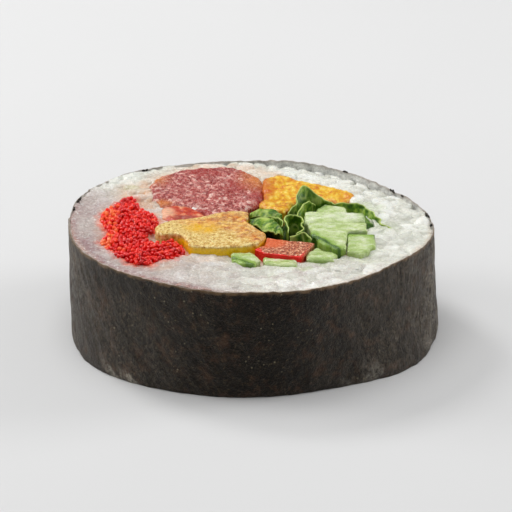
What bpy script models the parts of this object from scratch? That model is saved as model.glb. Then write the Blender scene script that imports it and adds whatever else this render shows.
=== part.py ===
"""A thick slice of a futomaki: a sheet of nori round rice, with fillings that run through it.

The slice lies on one cut face with the other up. Sizes are in millimetres and become metres where
each mesh is made. X is to the right, Y is away and Z is up. Angles are in degrees, from X towards Y.
"""

import math
import random

import bmesh
import bpy
from mathutils import Matrix, Vector

MM = 0.001

SLICE_HEIGHT = 18.0
CUT_SLOPE = -0.014
ROLL_RADIUS = 29.78
# The hand-rolled outline: waves round the roll, their height and the angle of a crest.
ROLL_WAVES = ((1, 0.60, 175), (2, 0.18, -88), (3, 0.21, 12), (4, 0.24, -13), (5, 0.42, -3))
# Where the foot of the wall bulges or draws in: its angle, half width and how far.
FOOT_BULGES = ((-36, 20, 2.7), (-3, 16, 0.9), (-78, 24, -0.9), (-142, 20, 0.6))
FOOT_FADE = 1.6

NORI_THICKNESS = 0.4
NORI_LIFT = 0.35
NORI_SIDES = 76
NORI_ROWS = 4
# Wrinkles down the nori: how many round it, their depth and their turn.
NORI_WRINKLES = ((17, 0.09, 40), (29, 0.06, 110))
RIM_WAVES = ((7, 0.10, 20), (13, 0.07, 75))

GAP = 0.3
RICE_SIDES = 76
RICE_RINGS = (0.55, 0.82, 0.91, 1.0)
RICE_WALL_ROWS = (0.0, 0.25, 0.5)
RICE_CORE_DROP = 0.55
RIM_DIP_ANGLE = 57
RIM_DIP_WIDTH = 34
RIM_DIP_DEPTH = 1.3
RIM_DIP_FROM = 0.8
RIM_DIP_TO = 0.95
GRAIN_LENGTH = 5.2
GRAIN_WIDTH = 2.6
GRAIN_COUNT = 104
GRAIN_SPACING = 2.9
GRAIN_PROUD = 0.4
GRAIN_PROUD_SHARE = (0.2, 1.0)
GRAIN_TILT = 0.14
# How far a grain's middle lies under its top, as a share of its width.
GRAIN_SUNK = 0.42
GRAIN_MARGIN = 2.0
GRAIN_PROBES = 12
TURN_TRIES = 12

ROE_DIAMETER = 0.78
ROE_COUNT = 75
ROE_SPACING = 1.2
ROE_CORE_DROP = 0.25
# How far a lump's middle lies over the core's top, as a share of its height.
ROE_LIFT = (0.1, 0.3)
MINCE_SIZES = (2.6, 2.0, 1.3)
MINCE_COUNT = 74
MINCE_SPACING = 2.0
MINCE_CORE_DROP = 0.3
MINCE_LIFT = (-0.2, -0.05)
LUMP_SCALE = (0.85, 1.15)

# One gives true ellipsoids, less gives blunter ends.
BLUNTNESS = 0.75
GRAIN_FACETS = (6, 4)
EGG_FACETS = (5, 4)

SHOULDER = 0.35
OUTLINE_STEPS = 4
# The least cosine that a sharp corner of an outline is moved by.
CORNER_LIMIT = 0.5
LEAF_THICKNESS = 0.45
LEAF_ROWS = (0.0, 0.35, 0.7, 0.86, 0.94, 1.0)
LEAF_STEPS = 2
LEAF_WAVE = 0.1
LEAF_WAVE_ALONG = 1.7
LEAF_WAVE_UP = 5.0
LEAF_ROOM = 0.75
CUTTER_OVERRUN = 3.0
CUTTER_STEP = 0.1
SPREAD_TRIES = 60

# Soft fillings: how far each stands above the cut, then corners of its smooth outline.
ROE = (0.5, ((-20.3, 10.2), (-18.4, 5.6), (-15.8, 1.4), (-15.6, -3.6), (-16.9, -6.4), (-16.0, -9.6),
             (-14.2, -9.9), (-12.6, -9.4), (-11.0, -11.6), (-10.7, -13.8), (-12.4, -15.9), (-14.4, -16.9),
             (-16.6, -19.0), (-19.6, -17.4), (-21.6, -14.4), (-23.8, -10.2), (-23.2, -6.0), (-24.5, 1.0),
             (-22.8, 6.2)))
MINCED_TUNA = (0.3, ((-16.7, 14.5), (-15.2, 21.0), (-9.5, 24.5), (-4.0, 25.2), (0.4, 22.0), (1.9, 15.5),
                     (1.2, 9.2), (-1.6, 5.2), (-3.0, 2.4), (-7.0, 0.9), (-7.8, 4.2), (-10.6, 6.8),
                     (-15.2, 7.2)))
FISH_CHUNK = (0.6, ((-14.2, 5.6), (-11.2, 5.9), (-8.5, 3.4), (-7.9, 0.5), (-11.0, -0.9), (-14.0, 0.6)))
OMELETTE = (1.4, ((-15.2, -6.6), (-13.9, -4.0), (-9.0, -1.6), (-1.4, 1.8), (-0.9, -3.2), (1.8, -8.2),
                  (1.4, -11.2), (0.0, -13.0), (-4.4, -14.0), (-9.4, -13.6), (-9.7, -11.4), (-11.9, -8.5),
                  (-14.2, -8.7)))
EGG_SHEET = (0.8, ((2.5, 18.6), (4.9, 20.8), (9.6, 16.9), (15.4, 13.8), (16.9, 11.2), (15.2, 8.7),
                   (10.4, 10.9), (7.4, 9.2), (5.2, 3.6), (1.9, 6.4), (2.4, 10.0)))

# Cut sticks with crisp corners.
RED_PEPPER = (0.8, ((2.6, -9.0), (10.0, -11.0), (7.8, -16.8), (2.0, -15.3), (0.6, -13.8), (2.2, -12.2)))
CUCUMBERS = (
    ("cucumber_back", 1.0, ((10.9, 4.0), (12.3, 5.8), (15.2, 4.9), (15.6, 2.5), (10.9, 2.5))),
    ("cucumber_long", 1.2, ((8.9, 2.1), (18.0, 2.0), (18.2, -1.0), (14.8, -2.2), (8.9, -2.3))),
    ("cucumber_front", 1.2, ((9.3, -2.7), (18.4, -2.7), (18.5, -5.4), (15.3, -5.6), (15.2, -7.0),
                             (14.9, -13.4), (13.8, -13.8), (11.2, -10.9), (9.9, -7.2))),
    ("cucumber_right", 0.8, ((15.7, -6.2), (19.7, -6.9), (19.5, -11.7), (17.2, -14.6), (15.4, -13.6))),
    ("cucumber_sliver", 0.4, ((9.0, -14.6), (10.4, -11.9), (13.3, -14.3), (12.8, -16.4), (9.0, -16.8))),
    ("cucumber_skin", 0.5, ((-2.9, -14.8), (-0.2, -14.2), (0.4, -14.8), (1.2, -17.0), (0.2, -19.4),
                            (-1.4, -18.8), (-2.8, -16.6))),
    ("cucumber_low", 0.3, ((2.2, -15.8), (6.8, -17.1), (7.0, -18.5), (5.8, -19.1), (2.4, -18.3))),
)

# Lettuce leaves: for each station its x, y, rise over the cut, and how far the top edge leans in x, y.
LEAVES = (
    ("lettuce_tall", ((6.3, 3.6, 0.2, 0.0, 0.0), (7.0, 5.4, 1.5, 0.3, 0.4), (8.4, 7.0, 3.3, 0.1, 1.8),
                      (10.4, 7.9, 1.9, 0.2, 0.9), (12.6, 7.7, 0.9, 0.0, 0.3), (14.6, 7.0, 0.8, 0.0, 0.2),
                      (16.8, 6.4, 1.1, 0.3, 0.3), (18.3, 4.8, 0.8, 0.5, 0.2), (19.5, 2.2, 0.9, 0.6, 0.3),
                      (20.9, -0.4, 0.5, 0.2, 0.1), (22.6, -2.2, 0.2, 0.0, 0.0))),
    ("lettuce_inner", ((7.7, 0.9, 0.4, 0.0, 0.0), (8.1, 2.9, 1.5, 0.3, 0.2), (8.9, 4.7, 1.9, 0.4, 0.3),
                       (10.3, 6.2, 0.9, 0.2, 0.0))),
    ("lettuce_left", ((-0.2, 1.1, 1.0, 0.0, -0.3), (1.1, 2.3, 1.4, 0.0, -1.6), (2.6, 3.0, 1.4, -0.1, -2.5),
                      (3.9, 2.5, 1.3, -0.2, -1.8), (4.8, 1.0, 0.9, 0.0, -0.3))),
    ("lettuce_middle", ((3.5, -0.2, 1.0, -0.2, 0.3), (4.6, -1.1, 1.3, 0.0, 0.4), (4.9, -2.4, 1.2, 0.0, 0.2),
                        (4.9, -3.6, 0.8, 0.0, 0.1))),
    ("lettuce_front", ((-0.1, -1.9, 1.0, 0.0, -0.5), (1.4, -0.9, 1.4, -0.3, -3.4),
                       (3.0, -1.4, 1.5, -0.8, -4.6), (4.2, -3.4, 1.4, -0.5, -3.3),
                       (5.0, -6.0, 1.0, 0.0, -0.6))),
    ("lettuce_curl", ((6.0, -6.3, 0.9, 0.0, 0.0), (5.7, -4.1, 1.9, -0.1, 0.0), (6.2, -2.2, 2.2, 0.0, 0.2),
                      (7.2, -1.8, 2.1, 0.1, 0.2), (8.0, -3.2, 1.7, 0.2, 0.0), (8.1, -5.2, 1.2, 0.2, 0.0),
                      (7.3, -6.8, 0.9, 0.0, -0.2))),
    ("lettuce_edge", ((6.3, -8.6, 0.7, 0.0, 0.2), (7.5, -8.2, 1.3, 0.0, 0.2), (8.6, -8.3, 1.3, 0.0, 0.2),
                      (9.3, -9.5, 0.7, 0.0, 0.0))),
)
# Leaves that fold over at the cut, and how far their free edge hangs below the fold.
FOLDED_LEAVES = {"lettuce_left": 0.6, "lettuce_front": 0.7}
FOLD_FROM = 0.86

# The open space that the leaves stand in, and the seams between fillings that touch, which hold no rice.
LEAF_SPACE = ((-1.6, -3.0), (-2.2, 4.6), (0.2, 7.0), (1.6, 12.6), (2.6, 12.4), (2.4, 7.0), (5.2, 4.2),
              (7.2, 8.8), (9.6, 10.8), (12.4, 10.0), (15.4, 8.6), (16.4, 8.4), (18.4, 5.8), (20.0, 1.4),
              (20.2, -0.6), (18.4, -1.2), (11.6, -2.4), (11.6, -11.0), (9.8, -11.0), (2.0, -10.6),
              (0.6, -7.4))
SEAMS = (
    ((-12.4, -3.0), (-9.0, -1.8), (-1.6, 1.6), (-1.6, 5.0), (-7.0, 1.2), (-8.0, 4.6), (-10.8, 6.7),
     (-13.0, 6.5), (-13.0, 0.0)),
    ((-16.4, -3.4), (-13.8, -3.4), (-14.6, -8.0), (-12.0, -8.0), (-10.2, -10.8), (-9.6, -13.2),
     (-10.2, -14.8), (-11.4, -13.6), (-11.4, -11.2), (-12.8, -9.8), (-16.0, -10.0)),
    ((-3.4, -13.9), (0.6, -12.9), (1.2, -9.6), (2.8, -9.6), (2.6, -17.8), (0.7, -18.6), (-3.0, -15.0)),
    ((1.2, 16.6), (2.6, 16.6), (3.0, 19.4), (1.0, 19.8)),
    ((9.4, -10.6), (11.4, -10.6), (13.8, -13.9), (12.8, -14.4), (8.6, -14.8), (7.6, -16.6), (8.9, -16.7)),
    ((15.0, -5.2), (18.6, -5.2), (19.6, -7.2), (15.4, -6.6)),
    ((14.6, -1.0), (18.8, -0.6), (18.8, -3.0), (14.6, -2.8)),
)

# The crumpled heart of the lettuce fills that space up to this depth under the cut.
HEART_DEPTH = 2.6

# Colour and roughness of each material.
LOOKS = {
    "nori": ((0.028, 0.022, 0.018), 0.5),
    "rice": ((0.78, 0.77, 0.69), 0.35),
    "roe": ((0.78, 0.03, 0.015), 0.15),
    "tuna": ((0.48, 0.13, 0.11), 0.3),
    "fish": ((0.66, 0.21, 0.12), 0.3),
    "omelette": ((0.80, 0.62, 0.20), 0.4),
    "egg": ((0.90, 0.56, 0.05), 0.4),
    "lettuce": ((0.06, 0.17, 0.03), 0.35),
    "cucumber": ((0.56, 0.71, 0.36), 0.3),
    "pepper": ((0.55, 0.10, 0.05), 0.3),
}


def cut_height(x):
    """Height of the upper cut face, which tilts a little."""
    return SLICE_HEIGHT + CUT_SLOPE * x


def raised_cut(rise):
    """Function of x that gives the height this far above the cut face."""
    return lambda x: cut_height(x) + rise


def wave_sum(waves, angle):
    return sum(size * math.cos(count * math.radians(angle - crest)) for count, size, crest in waves)


def bell(angle, centre, half_width):
    turn = (angle - centre + 180) % 360 - 180
    return math.exp(-((turn / half_width) ** 2))


def wall_radius(angle, height):
    """Radius of the outer face of the nori."""
    up = min(max(height / SLICE_HEIGHT, 0.0), 1.0)
    bulge = sum(size * bell(angle, centre, width) for centre, width, size in FOOT_BULGES)
    return ROLL_RADIUS + wave_sum(ROLL_WAVES, angle) + bulge * (1 - up) ** FOOT_FADE


def polar(angle, radius):
    return radius * math.cos(math.radians(angle)), radius * math.sin(math.radians(angle))


def catmull_rom(points, share):
    """Point between the middle two of four, each a tuple of numbers."""
    middle = []
    for a, b, c, d in zip(*points):
        bend = (2 * a - 5 * b + 4 * c - d) * share**2 + (3 * b - a - 3 * c + d) * share**3
        middle.append(0.5 * (2 * b + (c - a) * share + bend))
    return tuple(middle)


def smooth_outline(corners, steps=OUTLINE_STEPS):
    """Closed smooth outline through the corners, given back anticlockwise."""
    count = len(corners)
    points = []
    for i in range(count):
        around = [corners[(i + k - 1) % count] for k in range(4)]
        points += [catmull_rom(around, step / steps) for step in range(steps)]
    return anticlockwise(points)


def anticlockwise(points):
    area = sum(a[0] * b[1] - b[0] * a[1] for a, b in zip(points, points[1:] + points[:1]))
    return points if area > 0 else points[::-1]


def smooth_path(stations, steps=LEAF_STEPS):
    """Open smooth path through the stations, which may hold more than x and y."""
    padded = [stations[0], *stations, stations[-1]]
    points = []
    for i in range(len(stations) - 1):
        points += [catmull_rom(padded[i:i + 4], step / steps) for step in range(steps)]
    return [*points, tuple(stations[-1])]


def grown(points, distance):
    """The anticlockwise outline moved outwards, or inwards if the distance is below zero."""
    moved = []
    for before, here, after in zip(points[-1:] + points[:-1], points, points[1:] + points[:1]):
        first = Vector((here[1] - before[1], before[0] - here[0])).normalized()
        second = Vector((after[1] - here[1], here[0] - after[0])).normalized()
        middle = (first + second).normalized()
        reach = distance / max(middle.dot(first), CORNER_LIMIT)
        moved.append((here[0] + middle.x * reach, here[1] + middle.y * reach))
    return moved


def inside(point, outline):
    x, y = point
    crossed = False
    for (x1, y1), (x2, y2) in zip(outline, outline[1:] + outline[:1]):
        if (y1 > y) != (y2 > y) and x < x1 + (y - y1) * (x2 - x1) / (y2 - y1):
            crossed = not crossed
    return crossed


def make_material(name):
    colour, roughness = LOOKS[name]
    material = bpy.data.materials.new(name)
    material.use_nodes = True
    shader = material.node_tree.nodes["Principled BSDF"]
    shader.inputs["Base Color"].default_value = (*colour, 1)
    shader.inputs["Roughness"].default_value = roughness
    return material


def make_object(name, builder, material, collection):
    """Object from a mesh builder in millimetres, its faces turned outwards."""
    builder.normal_update()
    bmesh.ops.recalc_face_normals(builder, faces=builder.faces)
    if builder.calc_volume(signed=True) < 0:
        bmesh.ops.reverse_faces(builder, faces=builder.faces)
    bmesh.ops.scale(builder, vec=(MM, MM, MM), verts=builder.verts)
    mesh = bpy.data.meshes.new(name)
    builder.to_mesh(mesh)
    builder.free()
    if material:
        mesh.materials.append(material)
    made = bpy.data.objects.new(name, mesh)
    collection.objects.link(made)
    return made


def add_ring(builder, points):
    return [builder.verts.new(point) for point in points]


def bridge(builder, lower, upper):
    """Faces between two closed rings with as many points."""
    for i in range(len(lower)):
        k = (i + 1) % len(lower)
        builder.faces.new((lower[i], lower[k], upper[k], upper[i]))


def prism(name, outline, low, top, material, collection, shoulder=0.0):
    """Upright prism on the outline. Its top height is a function of x, with a shoulder if one is given."""
    builder = bmesh.new()
    rings = [add_ring(builder, [(x, y, low) for x, y in outline])]
    rings.append(add_ring(builder, [(x, y, top(x) - shoulder) for x, y in outline]))
    if shoulder:
        rings.append(add_ring(builder, [(x, y, top(x)) for x, y in grown(outline, -shoulder)]))
    for lower, upper in zip(rings, rings[1:]):
        bridge(builder, lower, upper)
    builder.faces.new(rings[0])
    builder.faces.new(rings[-1])
    bmesh.ops.triangulate(builder, faces=[face for face in builder.faces if len(face.verts) > 4])
    return make_object(name, builder, material, collection)


def rice_top(angle, share):
    """How far the rice drops under the cut at this share of its radius, where it has sunk by the rim."""
    near_rim = min(max((share - RIM_DIP_FROM) / (RIM_DIP_TO - RIM_DIP_FROM), 0.0), 1.0)
    return RICE_CORE_DROP + RIM_DIP_DEPTH * bell(angle, RIM_DIP_ANGLE, RIM_DIP_WIDTH) * near_rim


def rice_core(material, collection):
    builder = bmesh.new()
    angles = [360 * i / RICE_SIDES for i in range(RICE_SIDES)]
    wall = NORI_THICKNESS + GAP
    rings = []
    for share in RICE_WALL_ROWS:
        level = share * SLICE_HEIGHT
        rings.append(add_ring(builder, [(*polar(a, wall_radius(a, level) - wall), level) for a in angles]))
    for share in reversed(RICE_RINGS):
        points = []
        for angle in angles:
            x, y = polar(angle, share * (wall_radius(angle, SLICE_HEIGHT) - wall))
            points.append((x, y, cut_height(x) - rice_top(angle, share)))
        rings.append(add_ring(builder, points))
    for lower, upper in zip(rings, rings[1:]):
        bridge(builder, lower, upper)
    builder.faces.new(rings[0])
    builder.faces.new(rings[-1])
    bmesh.ops.triangulate(builder, faces=[face for face in builder.faces if len(face.verts) > 4])
    return make_object("rice", builder, material, collection)


def nori_sheet(material, collection):
    """Closed ring of nori: outer face, rim, inner face and lower edge."""
    builder = bmesh.new()
    angles = [360 * i / NORI_SIDES for i in range(NORI_SIDES)]
    outer, inner = [], []
    for row in range(NORI_ROWS + 1):
        out_points, in_points = [], []
        for angle in angles:
            x, _ = polar(angle, ROLL_RADIUS)
            rim = cut_height(x) + wave_sum(RIM_WAVES, angle)
            height = NORI_LIFT + (rim - NORI_LIFT) * row / NORI_ROWS
            radius = wall_radius(angle, height)
            ripple = min(wave_sum(NORI_WRINKLES, angle), 0.0)
            out_points.append((*polar(angle, radius + ripple), height))
            in_points.append((*polar(angle, radius - NORI_THICKNESS), height))
        outer.append(add_ring(builder, out_points))
        inner.append(add_ring(builder, in_points))
    loop = outer + inner[::-1]
    for lower, upper in zip(loop, loop[1:] + loop[:1]):
        bridge(builder, lower, upper)
    return make_object("nori", builder, material, collection)


def ellipsoid(name, centre, sizes, turn, tilt, facets, top, collection):
    """Closed faceted ellipsoid with blunt ends, longest along its own x, with nothing above the top."""
    builder = bmesh.new()
    bmesh.ops.create_uvsphere(builder, u_segments=facets[0], v_segments=facets[1], radius=0.5)
    for vertex in builder.verts:
        width = max(2 * math.hypot(vertex.co.x, vertex.co.y), 1e-6)
        fuller = width ** (BLUNTNESS - 1)
        along = vertex.co.z * sizes[0]
        across = vertex.co.y * fuller * sizes[1]
        up = vertex.co.x * fuller * sizes[2]
        rise = along * math.sin(tilt) + up * math.cos(tilt)
        along = along * math.cos(tilt) - up * math.sin(tilt)
        x = centre[0] + along * math.cos(turn) - across * math.sin(turn)
        y = centre[1] + along * math.sin(turn) + across * math.cos(turn)
        vertex.co = (x, y, min(centre[2] + rise, top))
    return make_object(name, builder, None, collection)


def apply_boolean(target, others, operation, solver):
    """One Boolean with a whole collection, applied. The collection and its objects are then removed."""
    modifier = target.modifiers.new("join", "BOOLEAN")
    modifier.operation = operation
    modifier.operand_type = "COLLECTION"
    modifier.collection = others
    modifier.solver = solver
    graph = bpy.context.evaluated_depsgraph_get()
    mesh = bpy.data.meshes.new_from_object(target.evaluated_get(graph))
    target.modifiers.clear()
    old = target.data
    target.data = mesh
    bpy.data.meshes.remove(old)
    mesh.name = target.name
    for other in list(others.objects):
        bpy.data.objects.remove(other)
    bpy.data.collections.remove(others)


def drop_scraps(target):
    """Keeps the largest connected piece of the mesh only."""
    builder = bmesh.new()
    builder.from_mesh(target.data)
    left = set(builder.verts)
    pieces = []
    while left:
        piece, front = set(), {left.pop()}
        while front:
            piece |= front
            front = {edge.other_vert(vertex) for vertex in front for edge in vertex.link_edges} - piece
        left -= piece
        pieces.append(piece)
    pieces.sort(key=len)
    for piece in pieces[:-1]:
        bmesh.ops.delete(builder, geom=list(piece), context="VERTS")
    builder.to_mesh(target.data)
    builder.free()


def cut_rooms(target, rooms):
    """Cuts an upright room for each outline through the target, and keeps what holds together."""
    cutters = helper_collection("cutters")
    for index, room in enumerate(rooms):
        overrun = CUTTER_OVERRUN + CUTTER_STEP * index
        prism(f"room_{index}", room, -overrun, lambda x, reach=overrun: SLICE_HEIGHT + reach, None, cutters)
    apply_boolean(target, cutters, "DIFFERENCE", "EXACT")
    drop_scraps(target)


def helper_collection(name):
    made = bpy.data.collections.new(name)
    bpy.context.scene.collection.children.link(made)
    return made


def spread(outline_test, box, spacing, count, rng):
    """Evenly spread points in the box that pass the test, each at least the spacing from the others."""
    found = []
    for _ in range(SPREAD_TRIES * count):
        if len(found) == count:
            break
        point = (rng.uniform(box[0], box[2]), rng.uniform(box[1], box[3]))
        if outline_test(point) and all(math.dist(point, other) >= spacing for other in found):
            found.append(point)
    return found


def box_of(outline):
    xs = [x for x, _ in outline]
    ys = [y for _, y in outline]
    return min(xs), min(ys), max(xs), max(ys)


def leaf_ribbon(stations):
    """Outline of the room that one leaf stands in."""
    path = smooth_path([station[:2] for station in stations])
    left, right = [], []
    for i, (x, y) in enumerate(path):
        ahead = Vector(path[min(i + 1, len(path) - 1)]) - Vector(path[max(i - 1, 0)])
        side = Vector((-ahead.y, ahead.x)).normalized() * LEAF_ROOM
        left.append((x + side.x, y + side.y))
        right.append((x - side.x, y - side.y))
    first = Vector(path[0]) - (Vector(path[1]) - Vector(path[0])).normalized() * LEAF_ROOM
    last = Vector(path[-1]) + (Vector(path[-1]) - Vector(path[-2])).normalized() * LEAF_ROOM
    return anticlockwise([tuple(first), *right, tuple(last), *left[::-1]])


def leaf_profile(share, drop):
    """For one row of a leaf: share of the lean, share of the height and how far it hangs under the fold."""
    if drop is None:
        return max((share - LEAF_ROWS[2]) / (1 - LEAF_ROWS[2]), 0.0) ** 2, share, 0.0
    over = max((share - FOLD_FROM) / (1 - FOLD_FROM), 0.0)
    return over, min(share / FOLD_FROM, 1.0), drop * over**2


def leaf(name, stations, material, collection):
    """Thin wavy leaf that runs through the slice. Both faces use the same grid, split alike."""
    path = smooth_path(stations)
    drop = FOLDED_LEAVES.get(name)
    builder = bmesh.new()
    front, back = [], []
    for i, (x, y, rise, lean_x, lean_y) in enumerate(path):
        ahead = Vector(path[min(i + 1, len(path) - 1)][:2]) - Vector(path[max(i - 1, 0)][:2])
        side = Vector((-ahead.y, ahead.x)).normalized()
        tip = cut_height(x) + rise
        front_column, back_column = [], []
        for share in LEAF_ROWS:
            bend, up, hang = leaf_profile(share, drop)
            wave = LEAF_WAVE * math.sin(LEAF_WAVE_ALONG * i + LEAF_WAVE_UP * share) * (1 - bend)
            plan = Vector((x + lean_x * bend, y + lean_y * bend)) + side * wave
            centre = Vector((*plan, up * tip - hang))
            flat = bend if drop else 0.0
            reach = Vector((*(side * (1 - flat)), flat)) * LEAF_THICKNESS / 2
            front_column.append(builder.verts.new(centre + reach))
            back_column.append(builder.verts.new(centre - reach))
        front.append(front_column)
        back.append(back_column)
    for grid in (front, back):
        for column, following in zip(grid, grid[1:]):
            for row in range(len(LEAF_ROWS) - 1):
                builder.faces.new((column[row], following[row], following[row + 1]))
                builder.faces.new((column[row], following[row + 1], column[row + 1]))
    last = len(LEAF_ROWS) - 1
    for i in range(len(path) - 1):
        for row in (0, last):
            builder.faces.new((front[i][row], front[i + 1][row], back[i + 1][row], back[i][row]))
    for i in (0, len(path) - 1):
        for row in range(last):
            builder.faces.new((front[i][row], front[i][row + 1], back[i][row + 1], back[i][row]))
    return make_object(name, builder, material, collection)


def lay_grains(rooms, rng, collection):
    """Grains that lie in the rice by the cut. Each is turned till it clears the fillings and the nori."""
    limit = ROLL_RADIUS - GRAIN_MARGIN
    half_length, half_width = GRAIN_LENGTH / 2, GRAIN_WIDTH / 2
    probe_angles = [2 * math.pi * step / GRAIN_PROBES for step in range(GRAIN_PROBES)]
    corners = [(math.cos(step) * half_length, math.sin(step) * half_width) for step in probe_angles]
    places = spread(lambda p: math.hypot(*p) < limit, (-limit, -limit, limit, limit), GRAIN_SPACING,
                    4 * GRAIN_COUNT, rng)
    count = 0
    for x, y in places:
        angle = math.degrees(math.atan2(y, x))
        edge = wall_radius(angle, SLICE_HEIGHT) - NORI_THICKNESS - 2 * GAP
        start = rng.uniform(0, math.pi)
        for step in range(TURN_TRIES):
            turn = start + step * math.pi / TURN_TRIES
            ahead, side = Vector((math.cos(turn), math.sin(turn))), Vector((-math.sin(turn), math.cos(turn)))
            probes = [Vector((x, y)) + ahead * a + side * b for a, b in corners]
            if all(probe.length < edge for probe in probes) and not any(
                inside(probe, room) for room in rooms for probe in probes
            ):
                break
        else:
            continue
        drop = rice_top(angle, math.hypot(x, y) / edge) - RICE_CORE_DROP
        top = cut_height(x) - drop + GRAIN_PROUD * rng.uniform(*GRAIN_PROUD_SHARE)
        tilt = rng.uniform(-GRAIN_TILT, GRAIN_TILT)
        centre = (x, y, top - GRAIN_SUNK * GRAIN_WIDTH)
        sizes = (GRAIN_LENGTH, GRAIN_WIDTH, GRAIN_WIDTH)
        ellipsoid(f"grain_{count}", centre, sizes, turn, tilt, GRAIN_FACETS, top, collection)
        count += 1
        if count == GRAIN_COUNT:
            return


def scatter(target, outline, sizes, spacing, count, surface, lift, facets, rng):
    """Fuses evenly spread small lumps onto the target's top. Lift is a range of shares of their height."""
    lumps = helper_collection(f"{target.name}_lumps")
    allowed = grown(outline, -sizes[1] / 2)
    places = spread(lambda p: inside(p, allowed), box_of(allowed), spacing, count, rng)
    for index, (x, y) in enumerate(places):
        scale = rng.uniform(*LUMP_SCALE)
        size = tuple(scale * side for side in sizes)
        centre = (x, y, cut_height(x) + surface + size[2] * rng.uniform(*lift))
        turn = rng.uniform(0, math.pi)
        ellipsoid(f"lump_{index}", centre, size, turn, 0.0, facets, 2 * SLICE_HEIGHT, lumps)
    apply_boolean(target, lumps, "UNION", "MANIFOLD")


def centre_on_origin(objects):
    """Moves every mesh so that the middle of the whole footprint is at the origin."""
    xs = [vertex.co.x for made in objects for vertex in made.data.vertices]
    ys = [vertex.co.y for made in objects for vertex in made.data.vertices]
    shift = Matrix.Translation((-(min(xs) + max(xs)) / 2, -(min(ys) + max(ys)) / 2, 0))
    for made in objects:
        made.data.transform(shift)


def clear_scene():
    for old in list(bpy.data.objects):
        bpy.data.objects.remove(old)


def build():
    clear_scene()
    nodes = bpy.context.scene.collection
    materials = {name: make_material(name) for name in LOOKS}

    soft = {
        "roe": (*ROE, "roe"),
        "tuna": (*MINCED_TUNA, "tuna"),
        "fish_chunk": (*FISH_CHUNK, "fish"),
        "omelette": (*OMELETTE, "omelette"),
        "egg_sheet": (*EGG_SHEET, "egg"),
    }
    outlines = {name: smooth_outline(corners) for name, (_, corners, _) in soft.items()}
    core_drop = {"roe": ROE_CORE_DROP, "tuna": MINCE_CORE_DROP}
    made = {}
    for name, (rise, _, look) in soft.items():
        top = raised_cut(rise - core_drop.get(name, 0.0))
        made[name] = prism(name, outlines[name], 0.0, top, materials[look], nodes, SHOULDER)

    sticks = [("red_pepper", *RED_PEPPER, "pepper"), *((*cucumber, "cucumber") for cucumber in CUCUMBERS)]
    for name, rise, corners, look in sticks:
        outlines[name] = anticlockwise(list(corners))
        top = raised_cut(rise)
        made[name] = prism(name, outlines[name], 0.0, top, materials[look], nodes, SHOULDER / 2)
    for name, stations in LEAVES:
        outlines[name] = leaf_ribbon(stations)
        made[name] = leaf(name, stations, materials["lettuce"], nodes)
    made["nori"] = nori_sheet(materials["nori"], nodes)
    rice = rice_core(materials["rice"], nodes)

    leaf_names = {name for name, _ in LEAVES}
    rooms = [outline if name in leaf_names else grown(outline, GAP) for name, outline in outlines.items()]
    rooms += [anticlockwise(list(space)) for space in (LEAF_SPACE, *SEAMS)]
    cut_rooms(rice, rooms)

    rng = random.Random(7)
    grains = helper_collection("grains")
    lay_grains(rooms, rng, grains)
    apply_boolean(rice, grains, "UNION", "MANIFOLD")
    made["rice"] = rice

    space = anticlockwise(list(LEAF_SPACE))
    heart = prism("lettuce_heart", space, 0.0, raised_cut(-HEART_DEPTH), materials["lettuce"], nodes)
    cut_rooms(heart, rooms[:len(outlines)])
    made["lettuce_heart"] = heart

    scatter(made["roe"], outlines["roe"], (ROE_DIAMETER,) * 3, ROE_SPACING, ROE_COUNT, ROE[0] - ROE_CORE_DROP,
            ROE_LIFT, EGG_FACETS, rng)
    scatter(made["tuna"], outlines["tuna"], MINCE_SIZES, MINCE_SPACING, MINCE_COUNT,
            MINCED_TUNA[0] - MINCE_CORE_DROP, MINCE_LIFT, GRAIN_FACETS, rng)
    centre_on_origin(made.values())


build()
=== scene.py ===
"""The looks of a thick futomaki slice: real grains, fish eggs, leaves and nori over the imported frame.

Shapes are worked out in millimetres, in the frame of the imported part, and become metres where each
mesh is made. Each solid is replaced by one piece that keeps its form, and three more pieces ride along.
"""

import math

import bpy
import numpy as np
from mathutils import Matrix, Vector


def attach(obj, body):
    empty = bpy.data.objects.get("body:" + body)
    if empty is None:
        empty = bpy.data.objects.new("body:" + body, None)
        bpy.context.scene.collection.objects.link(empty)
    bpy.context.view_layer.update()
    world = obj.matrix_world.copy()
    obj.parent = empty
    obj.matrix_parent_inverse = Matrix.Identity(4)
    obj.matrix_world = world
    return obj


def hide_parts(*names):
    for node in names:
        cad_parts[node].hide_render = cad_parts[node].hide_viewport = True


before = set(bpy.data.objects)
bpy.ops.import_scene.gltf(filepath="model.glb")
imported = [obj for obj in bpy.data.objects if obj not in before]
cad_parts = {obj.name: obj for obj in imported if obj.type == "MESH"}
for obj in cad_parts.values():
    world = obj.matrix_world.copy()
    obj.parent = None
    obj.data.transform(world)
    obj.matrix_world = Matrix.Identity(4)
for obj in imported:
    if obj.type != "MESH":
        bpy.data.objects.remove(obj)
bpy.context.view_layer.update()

MM = 0.001

# The slice, as in the part: its thickness, the tilt of the cut, the roll's outline and its foot's bulges.
SLICE_HEIGHT = 18.0
CUT_SLOPE = -0.014
ROLL_RADIUS = 29.78
ROLL_WAVES = ((1, 0.60, 175), (2, 0.18, -88), (3, 0.21, 12), (4, 0.24, -13), (5, 0.42, -3))
FOOT_BULGES = ((-36, 20, 2.7), (-3, 16, 0.9), (-78, 24, -0.9), (-142, 20, 0.6))
FOOT_FADE = 1.6
ROLL_AXIS = np.array((-0.525, 0.164))
RIM_WAVES = ((7, 0.10, 20), (13, 0.07, 75))
RIM_DIP_ANGLE = 57
RIM_DIP_WIDTH = 34
RIM_DIP_DEPTH = 1.3
RIM_DIP_SHARES = (0.8, 0.95)

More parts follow.
